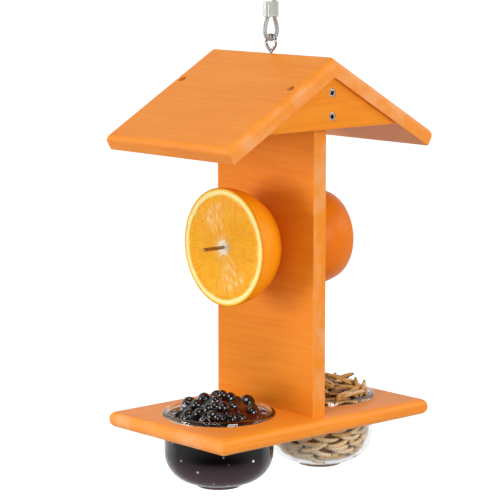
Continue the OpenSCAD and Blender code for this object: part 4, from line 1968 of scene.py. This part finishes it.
@dataclass
class JellyHeap:
    """Jelly with whole berries, heaped over the rim of the front cup."""

    finishes: Finishes
    cup: GlassCup
    rise: float = 0.0138
    heap_r: float = 0.0345
    fill_z: float = -0.0004
    lumps: float = 0.0021
    lump_scale: float = 105
    fine_scale: float = 260
    collar_from: float = 0.8
    collar: float = 0.85
    cover: float = 0.05
    swell: float = 1.2
    press: float = 0.00008
    sink: float = 0.001
    rim_ramp: float = 0.005
    glass_from: float = 0.002
    rings: int = 60
    around: int = 190
    seed: int = 12

    def dome(self, reach: float) -> float:
        """Height of the jelly's dome at a distance from the cup's axis."""
        share = min(1.0, reach / self.heap_r)
        return self.fill_z + self.rise * (1 - share**2) ** 1.3

    def lumpy_side(self, spot: Vector) -> float:
        """Share of the lumps at a place: the jelly lies flatter at its far right."""
        return min(1.0, max(0.25, 0.9 - (spot.x * 0.6 + spot.y * 0.8) / 0.03))

    def spots(self) -> list[tuple[Vector, float]]:
        """Middle and radius of each berry, about the cup's axis, in metres."""
        return [(Vector((b.x, b.y, b.z)) / MM_PER_M, b.r * self.swell / MM_PER_M) for b in berry_heap()]

    def jelly(self, spots: Sequence[tuple[Vector, float]]) -> None:
        """Turns the filling, then draws its top up round the berries.

        Args:
            spots: Middle and radius of each berry.
        """
        inner_r = self.cup.inner_r
        reaches = [inner_r * (1 - i / self.rings) for i in range(1, self.rings + 1)]
        top = [(reach, self.dome(reach)) for reach in reaches]
        body = turned_piece("grape_jelly_fill", self.cup.inner(-self.press, self.fill_z) + top, self.around)
        for vert in body.data.vertices:
            if vert.co.z < self.fill_z + NEAR:
                continue
            rim = min(1.0, max(0.0, (inner_r - vert.co.xy.length) / self.rim_ramp))
            wave = noise.noise(vert.co * self.lump_scale) * self.lumps
            wave += noise.noise(vert.co * self.fine_scale) * self.lumps * 0.25
            level = vert.co.z + (wave + self.lumps * 0.3) * rim * self.lumpy_side(vert.co)
            for middle, radius in spots:
                away = max(0.0, (vert.co.xy - middle.xy).length / radius - self.collar_from) / self.collar
                if away < 1:
                    climb = (1 - away * away) ** 2
                    level = max(level, level + climb * (middle.z + radius * self.cover - level))
            vert.co.z = max(vert.co.z - self.sink * rim, level)
        body.data.materials.append(self.finishes.jelly)
        body.data.materials.append(self.finishes.filling)
        for polygon in body.data.polygons:
            polygon.material_index = int(polygon.center.z <= self.fill_z - self.glass_from)
        put(body, self.cup.place)
        smooth(body, 70, weighted=False)
        fit_out(body, self.finishes.jelly, FEEDER, ["grape_jelly"])

    def heap(self, spots: Sequence[tuple[Vector, float]]) -> None:
        """Models one berry with its blossom end, and copies it to every spot.

        Args:
            spots: Middle and radius of each berry.
        """
        clear_selection()
        bpy.ops.mesh.primitive_uv_sphere_add(segments=28, ring_count=18, radius=1.0)
        pattern = bpy.context.object
        with editing(pattern):
            pick(pattern, Domain.VERT, lambda v: v.co.z > 0.95)
            bpy.ops.transform.translate(value=(0, 0, -0.12))
            bpy.ops.mesh.select_all(action="SELECT")
            bpy.ops.transform.resize(value=(1, 1, 0.95))
        draw = random.Random(self.seed)
        copies = []
        for middle, radius in spots:
            turn = Matrix.Rotation(draw.uniform(0, FULL_TURN), 4, "Z")
            lean = Matrix.Rotation(draw.uniform(0, 2.4), 4, "X")
            width, height = draw.uniform(0.94, 1.05), draw.uniform(0.93, 1.04)
            size = Matrix.Diagonal((radius * width, radius, radius * height, 1))
            spot = Matrix.Translation(self.cup.place + middle)
            copies.append(copy_at(pattern, spot @ turn @ lean @ size))
        remove(pattern)
        heap = join("whole_berries_heap", copies)
        smooth(heap, 80, weighted=False)
        fit_out(heap, self.finishes.berry, FEEDER, ["whole_berries"])

    def build(self) -> None:
        """Makes the jelly and its berries."""
        spots = self.spots()
        self.jelly(spots)
        self.heap(spots)


@dataclass(frozen=True)
class LaidWorm:
    """A mealworm of the heap by its two ends, in millimetres to the view's right, nearer and up."""

    start: Place
    end: Place
    bend: int
    bulge: Place = (0.0, 0.0, 1.0)


def laid_worms() -> list[LaidWorm]:
    """The worms that show best, from the heap's top to the cup's rim."""
    right = (1.0, 0.0, 0.3)
    return [
        LaidWorm((2, 4, 19.6), (26.8, 5, 9.6), 0),
        LaidWorm((5, -6, 8.0), (27.8, -6, 17.2), 0),
        LaidWorm((28.7, 15, -5), (30, 0, 15.0), 1, right),
        LaidWorm((29, 6, -8), (37.4, 2, 12.6), 1, right),
        LaidWorm((7, 34, 2.6), (26.2, 18, 8.6), 4, (-0.2, 0.3, 1.0)),
        LaidWorm((16.4, 28, 4.6), (37.2, 11, 6.4), 1, (0.3, 0.6, 0.6)),
        LaidWorm((14.9, 27, 8.0), (12.3, 35.5, 1.6), 0),
        LaidWorm((-8, 8, 18.6), (12.8, 20, 12.0), 1),
        LaidWorm((-8, 12, 15.2), (11.8, 24, 10.6), 0),
        LaidWorm((-12, 18, 13.6), (7.1, 30, 8.4), 1),
        LaidWorm((-8, 24, 12.6), (5, 35.5, 3.4), 2),
        LaidWorm((-12, -4, 6), (4, -5, 21.0), 0),
        LaidWorm((8, 18, 9.6), (30, 6, 8.2), 1),
        LaidWorm((22, 20, 5.2), (35, -4, 8.4), 2, right),
        LaidWorm((22, -22, 5.4), (36.5, -3, 6.4), 1, right),
        LaidWorm((12, -20, 9.0), (31, -10, 8.8), 1),
        LaidWorm((0, -14, 12.4), (20, -12, 12.6), 1),
        LaidWorm((10, 10, 13.4), (28, -4, 11.4), 0),
        LaidWorm((-30, 8, 5.0), (-10, 16, 12.6), 1),
        LaidWorm((-14, 6, 15.4), (-31, -8, 8.4), 0),
        LaidWorm((-6, -10, 15.8), (-24, -22, 7.8), 1),
        LaidWorm((2, -10, 15.2), (6, -33, 7.2), 2),
        LaidWorm((-20, 26, 5.0), (-36, 4, 6.2), 2, (-1.0, 0.4, 0.3)),
        LaidWorm((-34, -10, 5.6), (-16, -31, 6.0), 2, (-0.6, -0.6, 0.5)),
        LaidWorm((-12, -33, 5.4), (13, -33, 6.6), 1, (0.0, -1.0, 0.6)),
        LaidWorm((-26, 4, 10.6), (-6, 2, 16.8), 1),
        LaidWorm((-22, -10, -4), (-33, -18, 12.4), 1),
        LaidWorm((4, -22, -4), (14, -33, 12.0), 0),
    ]


@dataclass
class MealwormHeap:
    """Dried mealworms: a heap over the rim of the back cup and layers against its glass."""

    finishes: Finishes
    cup: GlassCup
    view_turn: float
    length: float = 0.0250
    thickness: float = 0.0043
    slim: float = 0.0040
    on_top: int = 46
    core_gap: float = 0.0042
    rise: float = 0.0125
    shading: float = 0.2
    seed: int = 4
    rings: int = 12
    bends: tuple[float, ...] = (14.0, 30.0, 52.0, 85.0, 115.0)
    wall_bends: tuple[float, ...] = (62.0, 74.0, 88.0)
    layer_share: float = 0.86
    foot_r: float = 0.008
    rim_room: float = 0.0035
    inset: float = 0.005
    # Tone ranges with painted shade and light: the core and buried heap worms darker, the laid worms and
    # those at the glass paler.
    shade_core_tones: tuple[float, float] = (0.14, -0.3)
    buried_shade_tones: tuple[float, float] = (0.0, 0.34)
    laid_tones: tuple[float, float] = (0.36, 0.78)
    lit_wall_tones: tuple[float, float] = (0.5, 0.95)

    def pattern(self, bend_deg: float, thickness: float, sides: int, per_ring: int) -> Object:
        """Turns a ringed worm, marks places along it, and bends it.

        Args:
            bend_deg: How far it bends from end to end.
            thickness: Its largest thickness.
            sides: Sides of its section.
            per_ring: Points along each body ring.

        Returns:
            The worm, lying along X about the origin, bent in the XY plane.
        """
        steps = self.rings * per_ring
        profile = []
        for i in range(steps + 1):
            share = i / steps
            taper = (1 - abs(2 * share - 1) ** 3.2) ** 0.54 * (0.84 + 0.2 * share)
            ring = 0.93 + 0.07 * abs(math.sin(math.pi * share * self.rings)) ** 0.6
            profile.append((taper * ring * thickness / 2, (share - 0.5) * self.length))
        profile[0], profile[-1] = (0, -self.length / 2), (0, self.length / 2)
        worm = turned_piece("worm", profile, sides)
        along = worm.data.attributes.new(ALONG, "FLOAT", "POINT")
        radius = self.length / math.radians(bend_deg)
        for vert in worm.data.vertices:
            along.data[vert.index].value = vert.co.z / self.length + 0.5
            turn = vert.co.z / radius
            reach = radius + vert.co.x
            vert.co = Vector((reach * math.sin(turn), reach * math.cos(turn) - radius, vert.co.y))
        return worm

    def copies(
        self,
        patterns: Sequence[Object],
        places: Sequence[Matrix],
        tones: tuple[float, float],
        draw: random.Random,
        outwards: bool = False,
    ) -> list[Object]:
        """Copies worms to places, each darker on the side that lies away from the light.

        Args:
            patterns: The worms to choose from.
            places: Where the copies go.
            tones: Limits between which each copy gets a tone of its own.
            draw: Source of the choices.
            outwards: Whether the pale side faces the glass, and not up.

        Returns:
            The copies.
        """
        made = []
        for place in places:
            worm = copy_at(draw.choice(patterns), place)
            tone = worm.data.attributes.new(TONE_AND_SHADING, "FLOAT", "POINT")
            own = draw.uniform(*tones)
            for vert in worm.data.vertices:
                pale_way = Vector((*vert.co.xy.normalized(), -0.4)) if outwards else Vector((0, 0, 1))
                tone.data[vert.index].value = own + self.shading * vert.normal.dot(pale_way)
            made.append(worm)
        return made

    def top_places(self, inner_r: float, draw: random.Random) -> list[Matrix]:
        """Where the worms that fill the heap lie, in rising layers like a nest.

        Args:
            inner_r: Radius of the cup's inside.
            draw: Source of the small differences.

        Returns:
            The places.
        """
        places = []
        for i in range(self.on_top):
            share = (i + 0.5) / self.on_top
            aside = draw.gauss(0, 0.55)
            room = inner_r - self.rim_room - abs(math.sin(aside)) * self.length * 0.5
            reach = min(room, (inner_r - self.inset) * math.sqrt(1 - share) * draw.uniform(0.9, 1.0))
            turn = i * GOLDEN_TURN + draw.uniform(-0.3, 0.3)
            height = self.rise * share**0.75 + draw.uniform(-0.001, 0.001)
            spot = Vector((math.cos(turn) * reach, math.sin(turn) * reach, height))
            places.append(
                Matrix.Translation(spot)
                @ Matrix.Rotation(turn - QUARTER_TURN + aside, 4, "Z")
                @ Matrix.Rotation(draw.gauss(0, 0.1), 4, "Y")
                @ Matrix.Rotation(draw.uniform(-0.5, 0.5), 4, "X")
            )
        return places

    def laid_place(self, worm: LaidWorm) -> Matrix:
        """The place of a worm between its two ends.

        Args:
            worm: The worm, by its ends in millimetres.

        Returns:
            The place, with a little stretch where the ends ask for it.
        """
        view = Matrix.Rotation(self.view_turn, 3, "Z")
        start, end, bulge = (
            view @ Vector((right, -near, up)) for right, near, up in (worm.start, worm.end, worm.bulge)
        )
        along = (end - start) / MM_PER_M
        half = math.radians(self.bends[worm.bend]) / 2
        stretch = along.length / (self.length * math.sin(half) / half)
        x = along.normalized()
        y = (bulge - x * bulge.dot(x)).normalized()
        turn = Matrix((x, y, x.cross(y))).transposed().to_4x4()
        middle = Matrix.Translation((start + end) / (2 * MM_PER_M))
        return middle @ turn @ Matrix.Diagonal((stretch, 1, 1, 1))

    def wall_places(self, bend_deg: float, draw: random.Random) -> list[Matrix]:
        """Where worms lie against the glass with their ends turned up, layer by layer.

        Args:
            bend_deg: Their smallest bend, which settles how far they can turn up.
            draw: Source of the small differences.

        Returns:
            The places.
        """
        places = []
        curve = self.length / math.radians(bend_deg)
        sag = curve * (1 - math.cos(math.radians(bend_deg) / 2))
        profile = self.cup.inner(self.thickness * 0.52, -0.001, 16)
        levels = [p for p in profile if p[0] > self.foot_r + 0.001]
        travelled = 0.0
        spacing = self.thickness * self.layer_share
        for (r0, z0), (r1, z1) in pairwise([(self.foot_r, profile[1][1])] + levels):
            stretch = math.hypot(r1 - r0, z1 - z0)
            while travelled < stretch:
                share = travelled / stretch
                radius, height = r0 + (r1 - r0) * share, z0 + (z1 - z0) * share
                wanted = self.length**2 / 8 / radius
                radius -= max(0.0, wanted - sag)
                roll = math.acos(min(1.0, wanted / sag)) * 0.9
                count = max(2, int(FULL_TURN * radius / (self.length * 0.8)))
                start = draw.uniform(0, FULL_TURN)
                for i in range(count):
                    turn = start + FULL_TURN * (i + draw.uniform(-0.12, 0.12)) / count
                    spot = Vector((math.cos(turn) * radius, math.sin(turn) * radius, height))
                    places.append(
                        Matrix.Translation(spot)
                        @ Matrix.Rotation(turn - QUARTER_TURN, 4, "Z")
                        @ Matrix.Rotation(draw.gauss(0, 0.28), 4, "Y")
                        @ Matrix.Rotation(-roll, 4, "X")
                    )
                travelled += spacing
            travelled -= stretch
        return places

    def build(self) -> None:
        """Makes the heap's core, dark as painted shade between the worms, the worms against the glass and
        the worms on top.
        """
        draw = random.Random(self.seed)
        fine = [self.pattern(bend, self.slim, 12, 4) for bend in self.bends]
        coarse = [self.pattern(bend, self.thickness, 8, 2) for bend in self.wall_bends]
        core_profile = self.cup.inner(self.core_gap, -0.004, 16) + [
            (0.034, 0.0), (0.027, self.rise * 0.32), (0.016, self.rise * 0.62), (0, self.rise * 0.8)
        ]
        core = turned_piece("core", core_profile, 48)
        along = core.data.attributes.new(ALONG, "FLOAT", "POINT")
        tone = core.data.attributes.new(TONE_AND_SHADING, "FLOAT", "POINT")
        # Painted shade: the core's top is near black between the worms; under the rim, behind the glass, it
        # is paler.
        low_tone, shaded_top_tone = self.shade_core_tones
        for vert in core.data.vertices:
            along.data[vert.index].value = 0.3
            tone.data[vert.index].value = low_tone if vert.co.z < -0.003 else shaded_top_tone
        worms = self.copies(fine[:4], self.top_places(self.cup.inner_r, draw), self.buried_shade_tones, draw)
        for worm in laid_worms():
            worms += self.copies([fine[worm.bend]], [self.laid_place(worm)], self.laid_tones, draw)
        at_wall = self.wall_places(self.wall_bends[0], draw)
        worms += self.copies(coarse, at_wall, self.lit_wall_tones, draw, outwards=True)
        for worm in fine + coarse:
            remove(worm)
        heap = join("dried_mealworms_heap", [core, *worms])
        put(heap, self.cup.place)
        smooth(heap, 70, weighted=False)
        fit_out(heap, self.finishes.worm, FEEDER, ["dried_mealworms"])


# The whole


def main() -> None:
    """Builds the studio and every piece, in the order that the frame asks for."""
    logging.basicConfig(level=logging.INFO, format="%(name)s %(message)s")
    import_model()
    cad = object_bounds()
    bpy.context.scene.view_settings.view_transform = "Standard"
    layout = Layout.read()
    studio = Studio()
    studio.add_camera(layout.deck_z)
    finishes = Finishes.build(layout)
    CableHanger(finishes).build()
    ScrewEye(finishes, layout).build()
    BaseBoard(finishes, layout).build()
    PostBoard(finishes).build()
    for side in (Side.RIGHT, Side.LEFT):
        GableBlock(finishes, layout, side).build()
    for side in (Side.FRONT, Side.BACK):
        RoofBoard(finishes, layout, side).build()
    Screws(finishes, layout).build()
    FruitSkewer(finishes).build()
    for side in (Side.FRONT, Side.BACK):
        OrangeHalf(finishes, side).build()
    front_cup, back_cup = (GlassCup(finishes, layout, side) for side in (Side.FRONT, Side.BACK))
    for cup in (front_cup, back_cup):
        cup.build()
    JellyHeap(finishes, front_cup).build()
    MealwormHeap(finishes, back_cup, math.radians(studio.azimuth_deg)).build()
    low, high = cad
    studio.add_lamps((low + high) / 2)
    studio.add_world()
    studio.add_floor()


if __name__ == "__main__":
    main()
